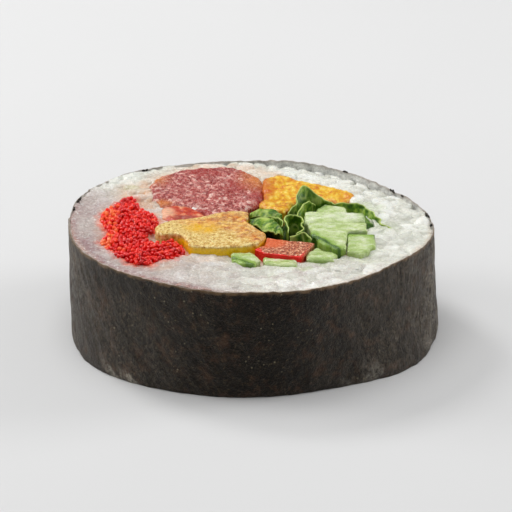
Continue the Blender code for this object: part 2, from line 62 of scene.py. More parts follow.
NORI_THICKNESS = 0.24
NORI_AROUND = 860
NORI_UP = 58
NORI_INSIDE_ROWS = 14
NORI_VALUES = ("inside", "dust_and_sheen", "worn_and_sheen", "fringe")
# Where the wall is lighter from wear, scuffs and pale patches, and from painted sheen: strength, angle round
# the roll and half width. The first table is wear with painted sheen, strongest at the left and right sides
# where the lamps graze the wall.
WORN_AND_SHEEN_SIDES = ((1, -4, 20), (0.3, -42, 22), (1, -178, 20), (0.05, -150, 18), (0.06, -112, 16), (0.4, 90, 60))
# Scuffs on the left and right thirds of the front, with painted sheen on the left third.
SCUFFED_AND_SHEEN_SIDES = ((1, -132, 26), (1, -42, 26))
# Pale patches near the foot: a pale smudge at the lower left, painted sheen at the lower right.
DUSTY_AND_SHEEN_SIDES = ((1, -12, 10), (0.9, -131, 9), (0.35, -48, 12))
# Torn bits of nori at the rim: angle round the roll, length along it and height.
NORI_BITS = ((163, 1.6, 0.5), (127, 1.0, 0.35), (33, 1.3, 0.5), (27, 1.0, 0.35), (8, 1.8, 0.5),
             (57, 0.9, 0.3), (170, 0.9, 0.4), (-1, 1.0, 0.4))

# Lettuce leaves, as in the part: x and y from the roll's axis, rise over the cut, and the lean of the top
# edge in x, y.
LEAVES = {
    "lettuce_tall": ((6.3, 3.6, 0.2, 0.0, 0.0), (7.0, 5.4, 1.5, 0.3, 0.4), (8.4, 7.0, 3.3, 0.1, 1.8),
                     (10.4, 7.9, 1.9, 0.2, 0.9), (12.6, 7.7, 0.9, 0.0, 0.3), (14.6, 7.0, 0.8, 0.0, 0.2),
                     (16.8, 6.4, 1.1, 0.3, 0.3), (18.3, 4.8, 0.8, 0.5, 0.2), (19.5, 2.2, 0.9, 0.6, 0.3),
                     (20.9, -0.4, 0.5, 0.2, 0.1), (22.6, -2.2, 0.2, 0.0, 0.0)),
    "lettuce_inner": ((7.7, 0.9, 0.4, 0.0, 0.0), (8.1, 2.9, 1.5, 0.3, 0.2), (8.9, 4.7, 1.9, 0.4, 0.3),
                      (10.3, 6.2, 0.9, 0.2, 0.0)),
    "lettuce_left": ((-0.2, 1.1, 1.0, 0.0, -0.3), (1.1, 2.3, 1.4, 0.0, -1.6), (2.6, 3.0, 1.4, -0.1, -2.5),
                     (3.9, 2.5, 1.3, -0.2, -1.8), (4.8, 1.0, 0.9, 0.0, -0.3)),
    "lettuce_middle": ((3.5, -0.2, 1.0, -0.2, 0.3), (4.6, -1.1, 1.3, 0.0, 0.4), (4.9, -2.4, 1.2, 0.0, 0.2),
                       (4.9, -3.6, 0.8, 0.0, 0.1)),
    "lettuce_front": ((-0.1, -1.9, 1.0, 0.0, -0.5), (1.4, -0.9, 1.4, -0.3, -3.4),
                      (3.0, -1.4, 1.5, -0.8, -4.6), (4.2, -3.4, 1.4, -0.5, -3.3),
                      (5.0, -6.0, 1.0, 0.0, -0.6)),
    "lettuce_curl": ((6.0, -6.3, 0.9, 0.0, 0.0), (5.7, -4.1, 1.9, -0.1, 0.0), (6.2, -2.2, 2.2, 0.0, 0.2),
                     (7.2, -1.8, 2.1, 0.1, 0.2), (8.0, -3.2, 1.7, 0.2, 0.0), (8.1, -5.2, 1.2, 0.2, 0.0),
                     (7.3, -6.8, 0.9, 0.0, -0.2)),
    "lettuce_edge": ((6.3, -8.6, 0.7, 0.0, 0.2), (7.5, -8.2, 1.3, 0.0, 0.2), (8.6, -8.3, 1.3, 0.0, 0.2),
                     (9.3, -9.5, 0.7, 0.0, 0.0)),
}
LEAF_THICKNESS = 0.32
LEAF_ALONG = 9
LEAF_HIDDEN_ROWS = 7
LEAF_SHOWN_ROWS = 30
LEAF_SHOWS_FROM = 0.8
LEAN_FROM = 0.7
# Leaves that fold over at the cut, how far their free edge hangs, where they fold and how softly.
FOLDED_LEAVES = {"lettuce_left": 0.6, "lettuce_front": 0.7}
FOLD_FROM = 0.86
FOLD_SOFTNESS = 0.012
# The open space that the leaves stand in, and the seams where fillings touch with no rice between them,
# both in x and y from the roll's axis.
LEAF_SPACE = ((-1.6, -3.0), (-2.2, 4.6), (0.2, 7.0), (1.6, 12.6), (2.6, 12.4), (2.4, 7.0), (5.2, 4.2),
              (7.2, 8.8), (9.6, 10.8), (12.4, 10.0), (15.4, 8.6), (16.4, 8.4), (18.4, 5.8), (20.0, 1.4),
              (20.2, -0.6), (18.4, -1.2), (11.6, -2.4), (11.6, -11.0), (9.8, -11.0), (2.0, -10.6),
              (0.6, -7.4))
SEAMS = (
    ((-12.4, -3.0), (-9.0, -1.8), (-1.6, 1.6), (-1.6, 5.0), (-7.0, 1.2), (-8.0, 4.6), (-10.8, 6.7),
     (-13.0, 6.5), (-13.0, 0.0)),
    ((-16.4, -3.4), (-13.8, -3.4), (-14.6, -8.0), (-12.0, -8.0), (-10.2, -10.8), (-9.6, -13.2),
     (-10.2, -14.8), (-11.4, -13.6), (-11.4, -11.2), (-12.8, -9.8), (-16.0, -10.0)),
    ((-3.4, -13.9), (0.6, -12.9), (1.2, -9.6), (2.8, -9.6), (2.6, -17.8), (0.7, -18.6), (-3.0, -15.0)),
    ((1.2, 16.6), (2.6, 16.6), (3.0, 19.4), (1.0, 19.8)),
    ((9.4, -10.6), (11.4, -10.6), (13.8, -13.9), (12.8, -14.4), (8.6, -14.8), (7.6, -16.6), (8.9, -16.7)),
    ((15.0, -5.2), (18.6, -5.2), (19.6, -7.2), (15.4, -6.6)),
    ((14.6, -1.0), (18.8, -0.6), (18.8, -3.0), (14.6, -2.8)),
)
SEAM_DEPTH = 0.7
# Where the pressed lettuce rises to the right, in x.
FOLDS_RISE = (13.0, 16.0)

# The rice and the fillings are squares cut to their plans, with this many rows down the side.
WALL_ROWS = 10
# The squares of the rice, and its height over the cut where no grain lies.
RICE_SPACING = 0.215
RICE_FLOOR = -1.7
# The grains of rice: how far apart they lie, how deep, their half lengths and widths, how far they tilt,
# which of them lie whole on the cut, and how far they keep inside the border of the rice.
GRAIN_SPACING = 1.75
GRAIN_TRIES = 9000
GRAIN_DEPTHS = (-1.5, -0.55)
GRAIN_HALF_LENGTHS = (2.3, 2.9)
GRAIN_HALF_WIDTHS = (1.05, 1.35)
GRAIN_TILT = 0.45
WHOLE_GRAINS_FROM = 0.92
GRAIN_GAP = 0.05
# The fish eggs, and how far in from its side the heap of them rises.
EGG_RADIUS = 0.36
EGG_SPACING = 0.6
ROE_MOUND_WIDTH = 2.2
# The radius of a pebble, in cells, and how far two fillings stand over the cut.
PEBBLE_REACH = 0.8
OMELETTE_RISE = 1.4
EGG_RISE = 0.75

# Stains and tints on a piece: strength, place and two half widths.
PEACH_STAINS = ((0.85, -15.2, 1.6, 3.4, 4.6), (0.75, -17.6, 9.0, 3.0, 5.0), (0.55, -16.8, 16.8, 3.4, 7.0),
                (0.5, 1.6, 22.6, 4.0, 4.6), (0.4, -24.6, -2.0, 2.0, 12.0), (0.4, -15.4, -18.6, 5.0, 3.2),
                (0.6, -5.0, 26.8, 11.0, 2.8), (0.3, -8.0, -16.0, 6.0, 2.0), (0.65, -20.0, 12.6, 5.0, 8.0),
                (0.75, -11.0, 22.0, 8.0, 5.0))
GREEN_STAINS = ((0.55, 18.6, 7.6, 4.0, 3.4), (0.4, 21.0, -0.4, 3.6, 3.6), (0.5, 10.2, -16.4, 5.0, 2.4),
                (0.35, 4.0, -19.0, 5.4, 2.2), (0.6, 7.8, -19.4, 2.0, 1.4), (0.3, 17.0, -14.6, 4.0, 2.6),
                (0.35, 2.6, -22.6, 1.0, 2.4), (0.5, -20.6, 15.4, 2.0, 1.8))
DARK_TUNA = ((1.5, -3.4, 16.2, 2.6, 3.6), (1.5, 1.0, 12.4, 2.2, 5.0), (1.5, -8.6, 22.8, 3.6, 2.4),
             (1.5, -9.6, 3.6, 3.0, 2.4))
WARM_TUNA = ((1, 1.2, 20.0, 5.6, 9.0), (1, -17.2, 20.0, 4.0, 6.0), (1, -15.0, 8.0, 2.4, 2.4))
WARM_OMELETTE = ((1.3, -1.0, -3.2, 9.0, 6.0), (1.17, 0.4, -9.0, 4.0, 4.0), (1.04, -8.6, -3.6, 5.0, 2.4))
ORANGE_EGG = ((1, 1.4, 14.0, 2.6, 8.0), (0.5, 15.8, 10.0, 2.2, 3.0))
FROSTED_CUCUMBER = ((1, 15.6, 0.6, 4.6, 3.6), (0.8, 16.8, -8.2, 1.8, 1.2))

# For each cucumber: its rise, the ends of its skin, how dark the skin is and how green the flesh.
STICKS = {
    "cucumber_back": (1.0, (10.3, 4.2), (11.8, 6.0), 0.5, 0.1),
    "cucumber_long": (1.2, (17.8, 2.2), (18.0, -0.6), 0.4, 0.05),
    "cucumber_front": (1.2, (9.2, -7.6), (13.4, -13.9), 1.0, 0.15),
    "cucumber_right": (0.8, (15.2, -6.0), (19.2, -6.7), 0.8, 0.5),
    "cucumber_sliver": (0.4, (8.4, -16.7), (12.3, -16.3), 0.25, 0.3),
    "cucumber_skin": (0.5, (-3.4, -16.4), (-0.3, -19.4), 0.8, 0.3),
    "cucumber_low": (0.3, (5.8, -16.2), (6.4, -18.2), 0.2, 0.1),
}
FILLINGS = ("roe", "tuna", "fish_chunk", "omelette", "egg_sheet", "red_pepper", *STICKS)

# The camera, fitted to the outline of the cut face and of the foot in the photo.
CAMERA_LENS = 211.52
CAMERA_DISTANCE = 500
CAMERA_ELEVATION = 21.7
CAMERA_AIM = (0.231, 7.255, 9.3)

# Each light's place and size in metres and its power, and where they all point.
LIGHTS = {
    "light_top": ((-0.1, 0.0, 0.9), (0.8, 0.6), 4.4),
    "light_key": ((-0.3, 0.35, 0.5), (0.16, 0.16), 1.3),
    "light_left": ((-0.7, 0.2, 0.25), (0.3, 0.4), 2.4),
    "light_right": ((0.7, 0.2, 0.25), (0.3, 0.4), 2.7),
}
LIGHTS_AIM = (0, 0, 0.01)
WORLD_STRENGTH = 0.33
FLOOR_HALF = 1500.0


def cut_height(x):
    """Height of the upper cut face, which tilts about the roll's own axis."""
    return SLICE_HEIGHT + CUT_SLOPE * (x - ROLL_AXIS[0])


def wave_sum(waves, angle):
    return sum(size * np.cos(np.radians(count * (angle - crest))) for count, size, crest in waves)


def bell(angle, centre, half_width):
    turn = (angle - centre + 180) % 360 - 180
    return np.exp(-((turn / half_width) ** 2))


def wall_radius(angle, height):
    """Radius of the outer face of the nori about the roll's axis."""
    up = np.clip(height / SLICE_HEIGHT, 0.0, 1.0)
    bulge = sum(size * bell(angle, centre, width) for centre, width, size in FOOT_BULGES)
    return ROLL_RADIUS + wave_sum(ROLL_WAVES, angle) + bulge * (1 - up) ** FOOT_FADE


def smooth_step(low, high, value):
    share = np.clip((value - low) / (high - low), 0.0, 1.0)
    return share * share * (3 - 2 * share)


def noise(x, y, cell, seed):
    """Smooth value noise from -1 to 1 with features of the given cell size."""
    table = np.random.default_rng(seed).uniform(-1, 1, (128, 128))
    u, v = np.asarray(x) / cell, np.asarray(y) / cell
    i, j = np.floor(u).astype(int), np.floor(v).astype(int)
    f, g = u - i, v - j
    f = f * f * (3 - 2 * f)
    g = g * g * (3 - 2 * g)
    near = table[i % 128, j % 128] * (1 - f) + table[(i + 1) % 128, j % 128] * f
    far = table[i % 128, (j + 1) % 128] * (1 - f) + table[(i + 1) % 128, (j + 1) % 128] * f
    return near * (1 - g) + far * g


def cloud(points, cell, seed):
    """Three sizes of noise over the plan, each half as large and half as strong as the last."""
    x, y = points[:, 0], points[:, 1]
    total = 0.0
    for layer in range(3):
        turn = 0.7 * (layer + 1)
        cos, sin = math.cos(turn), math.sin(turn)
        total = total + noise(x * cos - y * sin, x * sin + y * cos, cell / 2**layer, seed + layer) / 2**layer
    return total / (1 + 1 / 2 + 1 / 4)


def pebbles(points, cell, seed):
    """Height from 0 to 1 of round pebbles packed on a jittered grid, and a number from 0 to 1 for each."""
    table = np.random.default_rng(seed).uniform(0, 1, (4, 64, 64))
    x, y = points[:, 0] / cell, points[:, 1] / cell
    i, j = np.floor(x).astype(int), np.floor(y).astype(int)
    height, mark = np.zeros(len(x)), np.zeros(len(x))
    for a in (-1, 0, 1):
        for b in (-1, 0, 1):
            shift_x, shift_y, size, number = table[:, (i + a) % 64, (j + b) % 64]
            away = ((x - i - a - shift_x) ** 2 + (y - j - b - shift_y) ** 2) / PEBBLE_REACH**2
            level = np.sqrt(np.maximum(1 - away, 0)) * (0.55 + 0.45 * size)
            higher = level > height
            height[higher] = level[higher]
            mark[higher] = number[higher]
    return height, mark


def polygon_distance(points, outline):
    """Signed distance in the plane to a closed outline, below zero inside it."""
    best = np.full(len(points), np.inf)
    crossed = np.zeros(len(points), bool)
    for start, end in zip(outline, np.roll(outline, -1, axis=0)):
        side = end - start
        away = points - start
        share = np.clip(away @ side / max(side @ side, 1e-12), 0, 1)
        best = np.minimum(best, np.hypot(*(away - share[:, None] * side).T))
        over = (start[1] > points[:, 1]) != (end[1] > points[:, 1])
        if abs(side[1]) > 1e-12:
            crossed ^= over & (points[:, 0] < start[0] + (points[:, 1] - start[1]) * side[0] / side[1])
    return np.where(crossed, -best, best)


def node_outline(name):
    """Outline of a CAD node's foot, in order, in millimetres."""
    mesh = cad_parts[name].data
    points = np.array([vertex.co for vertex in mesh.vertices]) / MM
    edges = set()
    for polygon in mesh.polygons:
        corners = [tuple(np.round(points[i], 3)) for i in polygon.vertices]
        if max(corner[2] for corner in corners) < 0.01:
            edges.update(zip(corners, corners[1:] + corners[:1]))
    following = {here: there for here, there in edges if (there, here) not in edges}
    outline = [min(following)]
    for _ in range(len(following) - 1):
        outline.append(following[outline[-1]])
    return np.array(outline)[:, :2]


def make_mesh(name, vertices, quads, material, values=None, smooth=True):
    """Piece from millimetre vertices and faces, with one number for each vertex under each value's name."""
    mesh = bpy.data.meshes.new(name)
    faces = quads.tolist() if isinstance(quads, np.ndarray) else quads
    mesh.from_pydata((np.asarray(vertices) * MM).tolist(), [], faces)
    if smooth:
        mesh.polygons.foreach_set("use_smooth", np.ones(len(mesh.polygons), bool))
    for key, numbers in (values or {}).items():
        mesh.attributes.new(key, "FLOAT", "POINT").data.foreach_set("value", np.asarray(numbers, np.float32))
    mesh.materials.append(material)
    mesh.update()
    piece = bpy.data.objects.new(name, mesh)
    bpy.context.scene.collection.objects.link(piece)
    return piece


def stands_for(piece, slot, *nodes):
    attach(piece, "root")
    if nodes:
        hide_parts(*nodes)


def onto_border(points, distance, step=0.02):
    """Points in the plan moved along the slope of a signed distance to where it is zero."""
    for _ in range(3):
        slope = np.stack([distance(points + (step, 0)) - distance(points - (step, 0)),
                          distance(points + (0, step)) - distance(points - (0, step))], 1) / (2 * step)
        length = np.maximum((slope**2).sum(1), 0.25)
        points = points - slope * (distance(points) / length)[:, None]
    return points


def slab(name, distance, box, spacing, top, bottom, material, values, warp=None):
    """Solid with the plan where distance is below zero, between a top and a bottom height over the plan.

    A square grid is cut to the plan and its border moved onto the outline. Distance, top and bottom take
    points in the plan, values takes the vertices, and warp moves the vertices at the end.
    """
    xs, ys = (np.arange(box[k] - spacing, box[k + 2] + 2 * spacing, spacing) for k in (0, 1))
    grid = np.stack(np.meshgrid(xs, ys, indexing="ij"), -1)
    middles = (grid[:-1, :-1] + grid[1:, 1:]) / 2
    used = (distance(middles.reshape(-1, 2)) < 0).reshape(middles.shape[:2])
    index = np.arange(grid.shape[0] * grid.shape[1]).reshape(grid.shape[:2])
    i, j = np.nonzero(used)
    quads = np.stack([index[i, j], index[i + 1, j], index[i + 1, j + 1], index[i, j + 1]], 1)
    kept, quads = np.unique(quads, return_inverse=True)
    quads = quads.reshape(-1, 4)
    plan = grid.reshape(-1, 2)[kept]
    edges = np.concatenate([quads[:, [k, (k + 1) % 4]] for k in range(4)])
    known = {tuple(edge) for edge in edges.tolist()}
    border = np.array([edge for edge in edges.tolist() if (edge[1], edge[0]) not in known])
    rim = np.unique(border)
    plan[rim] = onto_border(plan[rim], distance)
    count = len(plan)
    high, low = top(plan), bottom(plan)
    vertices = [np.column_stack([plan, high]), np.column_stack([plan, low])]
    rows = [rim]
    for row in range(1, WALL_ROWS):
        share = (row / WALL_ROWS) ** 2
        vertices.append(np.column_stack([plan[rim], high[rim] * (1 - share) + low[rim] * share]))
        rows.append(2 * count + (row - 1) * len(rim) + np.arange(len(rim)))
    rows.append(rim + count)
    place = np.full(count, -1)
    place[rim] = np.arange(len(rim))
    first, second = place[border].T
    faces = [quads, quads[:, ::-1] + count]
    for upper, lower in zip(rows, rows[1:]):
        faces.append(np.stack([upper[first], lower[first], lower[second], upper[second]], 1))
    vertices = np.concatenate(vertices)
    numbers = values(vertices)
    if warp:
        vertices = warp(vertices)
    return make_mesh(name, vertices, np.concatenate(faces), material, numbers)


def unit_ball(segments, rings):
    """Vertices and faces of a ball of radius one."""
    points = [(0.0, 0.0, 1.0)]
    for ring in range(1, rings):
        polar = math.pi * ring / rings
        for segment in range(segments):
            around = 2 * math.pi * (segment + 0.5 * (ring % 2)) / segments
            reach = math.sin(polar)
            points.append((reach * math.cos(around), reach * math.sin(around), math.cos(polar)))
    points.append((0.0, 0.0, -1.0))
    faces = []
    for segment in range(segments):
        after = (segment + 1) % segments
        faces.append((0, 1 + segment, 1 + after))
        for ring in range(rings - 2):
            upper, lower = 1 + ring * segments, 1 + (ring + 1) * segments
            faces.append((upper + segment, lower + segment, lower + after, upper + after))
        last = 1 + (rings - 2) * segments
        faces.append((len(points) - 1, last + after, last + segment))
    return np.array(points), faces


def balls(centres, sizes, turns, tilts, segments, rings, values):
    """Joined ellipsoids. Sizes are half lengths, longest first; turn is in the plan and tilt out of it."""
    ball, faces = unit_ball(segments, rings)
    corners = len(ball)
    points = ball[None, :, [2, 0, 1]] * np.asarray(sizes)[:, None, :]
    along, across, up = np.moveaxis(points, -1, 0)
    cos, sin = np.cos(tilts)[:, None], np.sin(tilts)[:, None]
    along, up = along * cos - up * sin, along * sin + up * cos
    cos, sin = np.cos(turns)[:, None], np.sin(turns)[:, None]
    placed = np.stack([along * cos - across * sin, along * sin + across * cos, up], -1) + centres[:, None, :]
    shifts = np.arange(len(centres)) * corners
    joined_faces = []
    for sides in (3, 4):
        block = np.array([face for face in faces if len(face) == sides])[None] + shifts[:, None, None]
        joined_faces += block.reshape(-1, sides).tolist()
    values = {key: np.repeat(each, corners) for key, each in values.items()}
    return placed.reshape(-1, 3), joined_faces, values


def spaced_points(test, box, spacing, tries, rng):
    """Random points in the box that pass the test and keep their distance from each other."""
    candidates = rng.uniform(box[:2], box[2:], (tries, 2))
    candidates = candidates[test(candidates)]
    cells, kept = {}, []
    for point in candidates:
        cell = (int(point[0] // spacing), int(point[1] // spacing))
        near = [other for a in (-1, 0, 1) for b in (-1, 0, 1)
                for other in cells.get((cell[0] + a, cell[1] + b), ())]
        if all(np.hypot(*(point - other)) >= spacing for other in near):
            cells.setdefault(cell, []).append(point)
            kept.append(point)
    return np.array(kept)


def linear(levels):
    """Colour as the shader takes it, from the 0 to 255 levels it should look like."""
    return (*((level / 255) ** 2.2 for level in levels), 1)


class Shader:
    """A material whose nodes are added one by one. Its colours are given as linear() takes them."""

    def __init__(self, name, subsurface=None, **constants):
        """Subsurface is a weight, a radius for each colour and a scale in millimetres."""
        self.material = bpy.data.materials.new(name)
        self.material.use_nodes = True
        self.tree = self.material.node_tree
        self.principled = self.tree.nodes["Principled BSDF"]
        if subsurface:
            weight, radius, scale = subsurface
            constants.update(Subsurface_Weight=weight, Subsurface_Radius=radius, Subsurface_Scale=scale * MM)
        self.fill(self.principled, {key.replace("_", " "): value for key, value in constants.items()})

    def fill(self, node, inputs):
        """Gives a node its inputs, each of them a value or the output of another node."""
        for key, value in inputs.items():
            if isinstance(value, bpy.types.NodeSocket):
                self.tree.links.new(value, node.inputs[key])
            else:
                node.inputs[key].default_value = value

    def node(self, kind, inputs, **settings):
        made = self.tree.nodes.new(f"ShaderNode{kind}")
        for key, value in settings.items():
            setattr(made, key, value)
        self.fill(made, inputs)
        return made

    def value(self, name):
        """A number that the mesh holds for each vertex."""
        return self.node("Attribute", {}, attribute_name=name).outputs["Fac"]

    def place(self, stretch=(1, 1, 1)):
        """Object space in millimetres."""
        where = self.node("TexCoord", {}).outputs["Object"]
        inputs = {"Vector": where, "Scale": [axis / MM for axis in stretch]}
        return self.node("Mapping", inputs).outputs["Vector"]

    def noise(self, scale, detail=2.0, roughness=0.5, stretch=(1, 1, 1)):
        """Noise from 0 to 1, with its scale in features for each millimetre."""
        inputs = {"Vector": self.place(stretch), "Scale": scale, "Detail": detail, "Roughness": roughness}
        return self.node("TexNoise", inputs).outputs["Fac"]

    def cells(self, scale, feature="F1"):
        inputs = {"Vector": self.place(), "Scale": scale}
        return self.node("TexVoronoi", inputs, feature=feature).outputs["Distance"]

    def ramp(self, source, *stops):
        """Colour ramp. Each stop is a place and the three levels of a colour."""
        made = self.node("ValToRGB", {"Fac": source})
        elements = made.color_ramp.elements
        for element, (place, *levels) in zip(elements, (stops[0], stops[-1])):
            element.position, element.color = place, linear(levels)
        for place, *levels in stops[1:-1]:
            elements.new(place).color = linear(levels)
        return made.outputs["Color"]

    def fit(self, source, low, high, to_low=0.0, to_high=1.0):
        inputs = {"Value": source, "From Min": low, "From Max": high, "To Min": to_low, "To Max": to_high}
        return self.node("MapRange", inputs).outputs["Result"]

    def mix(self, share, first, second):
        """The share of the second colour over the first. The second may be given as levels."""
        second = linear(second) if isinstance(second, tuple) else second
        return self.node("Mix", {0: share, 6: first, 7: second}, data_type="RGBA").outputs[2]

    def tint(self, colour, **tints):
        """The colour with each tint over it, as strong as the mesh's value of that name."""
        for name, levels in tints.items():
            colour = self.mix(self.value(name), colour, levels)
        return colour

    def times(self, first, second):
        return self.node("Math", {0: first, 1: second}, operation="MULTIPLY").outputs[0]

    def plus(self, first, second, weight=1.0):
        return self.node("Math", {0: second, 1: weight, 2: first}, operation="MULTIPLY_ADD").outputs[0]

    def finish(self, colour, height=None, depth=0.1, **inputs):
        """Connects the colour, any other inputs, and a bump whose height runs over the depth in mm."""
        if height is not None:
            bump = self.node("Bump", {"Height": height, "Distance": depth * MM})
            inputs["Normal"] = bump.outputs["Normal"]
        self.fill(self.principled, {"Base Color": colour, **inputs})
        return self.material


def rice_material():
    shader = Shader("rice_looks", (0.2, (1.0, 0.85, 0.7), 0.6), Specular_IOR_Level=0.5)
    grain = shader.ramp(shader.value("grain"), (0.0, 206, 207, 194), (0.5, 227, 228, 216),
                        (1.0, 247, 248, 240))
    # The lilac tint of the smeared rice, with painted shade along the front-left rim.
    tinted = shader.tint(grain, lilac=(150, 120, 120), peach=(214, 152, 100), green=(170, 188, 124),
                         blush=(236, 96, 62))
    veil = shader.times(shader.value("veil"), shader.fit(shader.noise(0.5, 5, 0.65), 0.46, 0.64))
    # Small near-white specks: starch on the rice, and painted glints on its wet grains.
    starch_and_glint_specks = shader.fit(shader.noise(2.4, 4, 0.75), 0.54, 0.66, 0.0, 0.7)
    colour = shader.mix(starch_and_glint_specks, shader.mix(veil, tinted, (184, 172, 166)), (250, 250, 246))
    height = shader.plus(shader.noise(2.6, 4), shader.noise(9.0, 2), 0.5)
    return shader.finish(colour, height, 0.16, Roughness=shader.fit(shader.noise(1.1), 0.3, 0.7, 0.12, 0.42))


def nori_material():
    shader = Shader("nori_looks", Specular_IOR_Level=0.18, Sheen_Weight=0.2, Sheen_Roughness=0.4,
                    Sheen_Tint=(0.95, 0.84, 0.72, 1))
    blotch = shader.ramp(shader.noise(0.36, 7, 0.7), (0.4, 2, 1, 1), (0.52, 15, 10, 7), (0.64, 84, 58, 42))
    fibre = shader.ramp(shader.noise(1.8, 6, 0.75), (0.42, 3, 2, 2), (0.55, 27, 20, 14),
                        (0.68, 132, 112, 84))
    net = shader.times(shader.fit(shader.cells(0.8, "DISTANCE_TO_EDGE"), 0.1, 0.02), 0.15)
    sheet = shader.mix(net, shader.mix(0.4, blotch, fibre), (66, 54, 40))
    # Pale flecks of wear, which also paint the sheen where the lamps graze the sides of the wall.
    flake_and_sheen = shader.ramp(shader.noise(1.5, 7, 0.8), (0.42, 22, 17, 14), (0.52, 84, 74, 61),
                        (0.64, 168, 156, 136))
    worn_and_sheen = shader.mix(shader.value("worn_and_sheen"), sheet, flake_and_sheen)
    fleck = shader.fit(shader.noise(2.6, 6, 0.85), 0.58, 0.66)
    speck = shader.plus(shader.fit(shader.cells(0.8), 0.15, 0.08), fleck)
    rare = shader.fit(shader.noise(0.16, 3), 0.5, 0.6, 0.06, 0.6)
    specked = shader.mix(shader.times(speck, rare), worn_and_sheen, (158, 146, 118))
    # Pale patches near the foot: a smudge at the lower left, painted sheen at the lower right.
    powder_and_sheen = shader.times(shader.value("dust_and_sheen"), shader.fit(shader.noise(1.6, 7, 0.8), 0.42, 0.58))
    dusted_and_sheen = shader.mix(powder_and_sheen, specked, (222, 214, 196))
    # The inside face of the dark nori is painted light grey: a painted reflection of the lamps on its wet
    # face.
    painted_sheen_lining = shader.ramp(shader.noise(0.5, 6, 0.7), (0.36, 182, 183, 180), (0.6, 252, 252, 246))
    colour = shader.tint(shader.mix(shader.value("inside"), dusted_and_sheen, painted_sheen_lining), fringe=(140, 112, 82))
    height = shader.plus(shader.noise(1.6, 6, 0.7), shader.noise(5.0, 3), 0.35)
    roughness = shader.fit(shader.noise(0.7, 4), 0.35, 0.65, 0.3, 0.6)
    return shader.finish(colour, height, 0.65, Roughness=roughness)


def roe_material():
    shader = Shader("roe_looks", (0.25, (1.0, 0.2, 0.1), 0.4), Roughness=0.14, Coat_Weight=0.2,
                    Coat_Roughness=0.05, Specular_IOR_Level=0.4)
    return shader.finish(shader.ramp(shader.value("egg"), (0.0, 190, 2, 2), (0.5, 232, 14, 8),
                                     (0.8, 246, 52, 28), (1.0, 252, 118, 62)))


def tuna_material():
    shader = Shader("tuna_looks", (0.05, (1.0, 0.4, 0.3), 0.3), Specular_IOR_Level=0.55)
    # Both ramps rise to near-white flecks that paint glints on the wet mince.
    mince = shader.ramp(shader.value("mark"), (0.0, 120, 10, 12), (0.45, 160, 44, 42), (0.72, 200, 104, 96),
                        (1.0, 252, 224, 210))
    shade = shader.ramp(shader.noise(2.4, 5, 0.8, (1, 0.6, 1)), (0.42, 116, 12, 10), (0.51, 174, 70, 62),
                        (0.6, 250, 204, 188))
    colour = shader.tint(shader.mix(0.5, mince, shade), dark=(156, 30, 22), warm=(214, 128, 40))
    height = shader.plus(shader.noise(2.2, 4), shader.noise(6.5, 2), 0.5)
    return shader.finish(colour, height, 0.2, Roughness=shader.fit(shader.noise(3.0), 0.35, 0.65, 0.12, 0.4))


def fish_material():
    shader = Shader("fish_looks", (0.2, (1.0, 0.5, 0.35), 0.5), Roughness=0.25)
    flesh = shader.ramp(shader.noise(0.8, 5, 0.65), (0.34, 160, 24, 12), (0.5, 198, 66, 30),
                        (0.66, 236, 170, 126))
    colour = shader.tint(flesh, pale=(232, 186, 150), dark=(150, 66, 56))
    return shader.finish(colour, shader.noise(1.6, 4), 0.2)


def omelette_material():
    shader = Shader("omelette_looks", (0.1, (1.0, 0.75, 0.35), 0.5))
    pale = shader.ramp(shader.noise(2.2, 6, 0.75, (1, 0.8, 1)), (0.38, 158, 104, 40), (0.47, 206, 166, 82),
                       (0.58, 238, 216, 148))
    grains = shader.ramp(shader.value("mark"), (0.0, 160, 58, 8), (0.5, 208, 118, 26),
                         (1.0, 246, 196, 100))
    warm = shader.mix(shader.value("warm"), pale, grains)
    # The side's yellow is the omelette's own outer layer, painted brighter to stand in for light on a face
    # the lamps leave dim.
    colour = shader.tint(warm, golden=(222, 166, 0), side=(250, 200, 14))
    height = shader.plus(shader.noise(1.7, 4), shader.cells(1.4), 0.8)
    return shader.finish(colour, height, 0.16, Roughness=shader.fit(shader.noise(2.4), 0.35, 0.65, 0.2, 0.5))


def egg_material():
    shader = Shader("egg_looks", (0.1, (1.0, 0.7, 0.25), 0.5), Roughness=0.32)
    yolk = shader.ramp(shader.noise(0.9, 6, 0.7, (1, 0.7, 1)), (0.34, 190, 96, 4), (0.46, 218, 148, 10),
                       (0.55, 230, 184, 40), (0.66, 244, 218, 114))
    # The orange tint: the egg's own orange patches, and painted shade low on its side.
    return shader.finish(shader.tint(yolk, orange=(196, 92, 10)), shader.noise(1.4, 5), 0.26)


def pepper_material():
    shader = Shader("pepper_looks", (0.05, (1.0, 0.3, 0.2), 0.3), Roughness=0.28, Specular_IOR_Level=0.5)
    # The near-white stop paints glints on the wet cut.
    cut = shader.ramp(shader.noise(2.4, 5, 0.8, (1, 0.7, 1)), (0.38, 70, 16, 6), (0.47, 158, 62, 32),
                      (0.54, 206, 118, 76), (0.62, 252, 226, 192))
    colour = shader.tint(cut, orange=(230, 98, 40), side=(240, 22, 8))
    return shader.finish(colour, shader.noise(3.2, 4), 0.2)


def cucumber_material():
    shader = Shader("cucumber_looks", (0.2, (0.8, 1.0, 0.5), 0.7), Specular_IOR_Level=0.5)
    flesh = shader.ramp(shader.noise(0.8, 6, 0.7, (0.6, 1.1, 1)), (0.34, 152, 178, 94), (0.5, 196, 211, 150),
                        (0.66, 230, 236, 208))
    colour = shader.tint(flesh, frost=(226, 230, 210), rind=(140, 174, 70), skin=(62, 98, 26))
    return shader.finish(colour, shader.noise(1.5, 5, 0.65, (0.6, 1.3, 1)), 0.24,
                         Roughness=shader.fit(shader.noise(1.2), 0.35, 0.65, 0.12, 0.35))


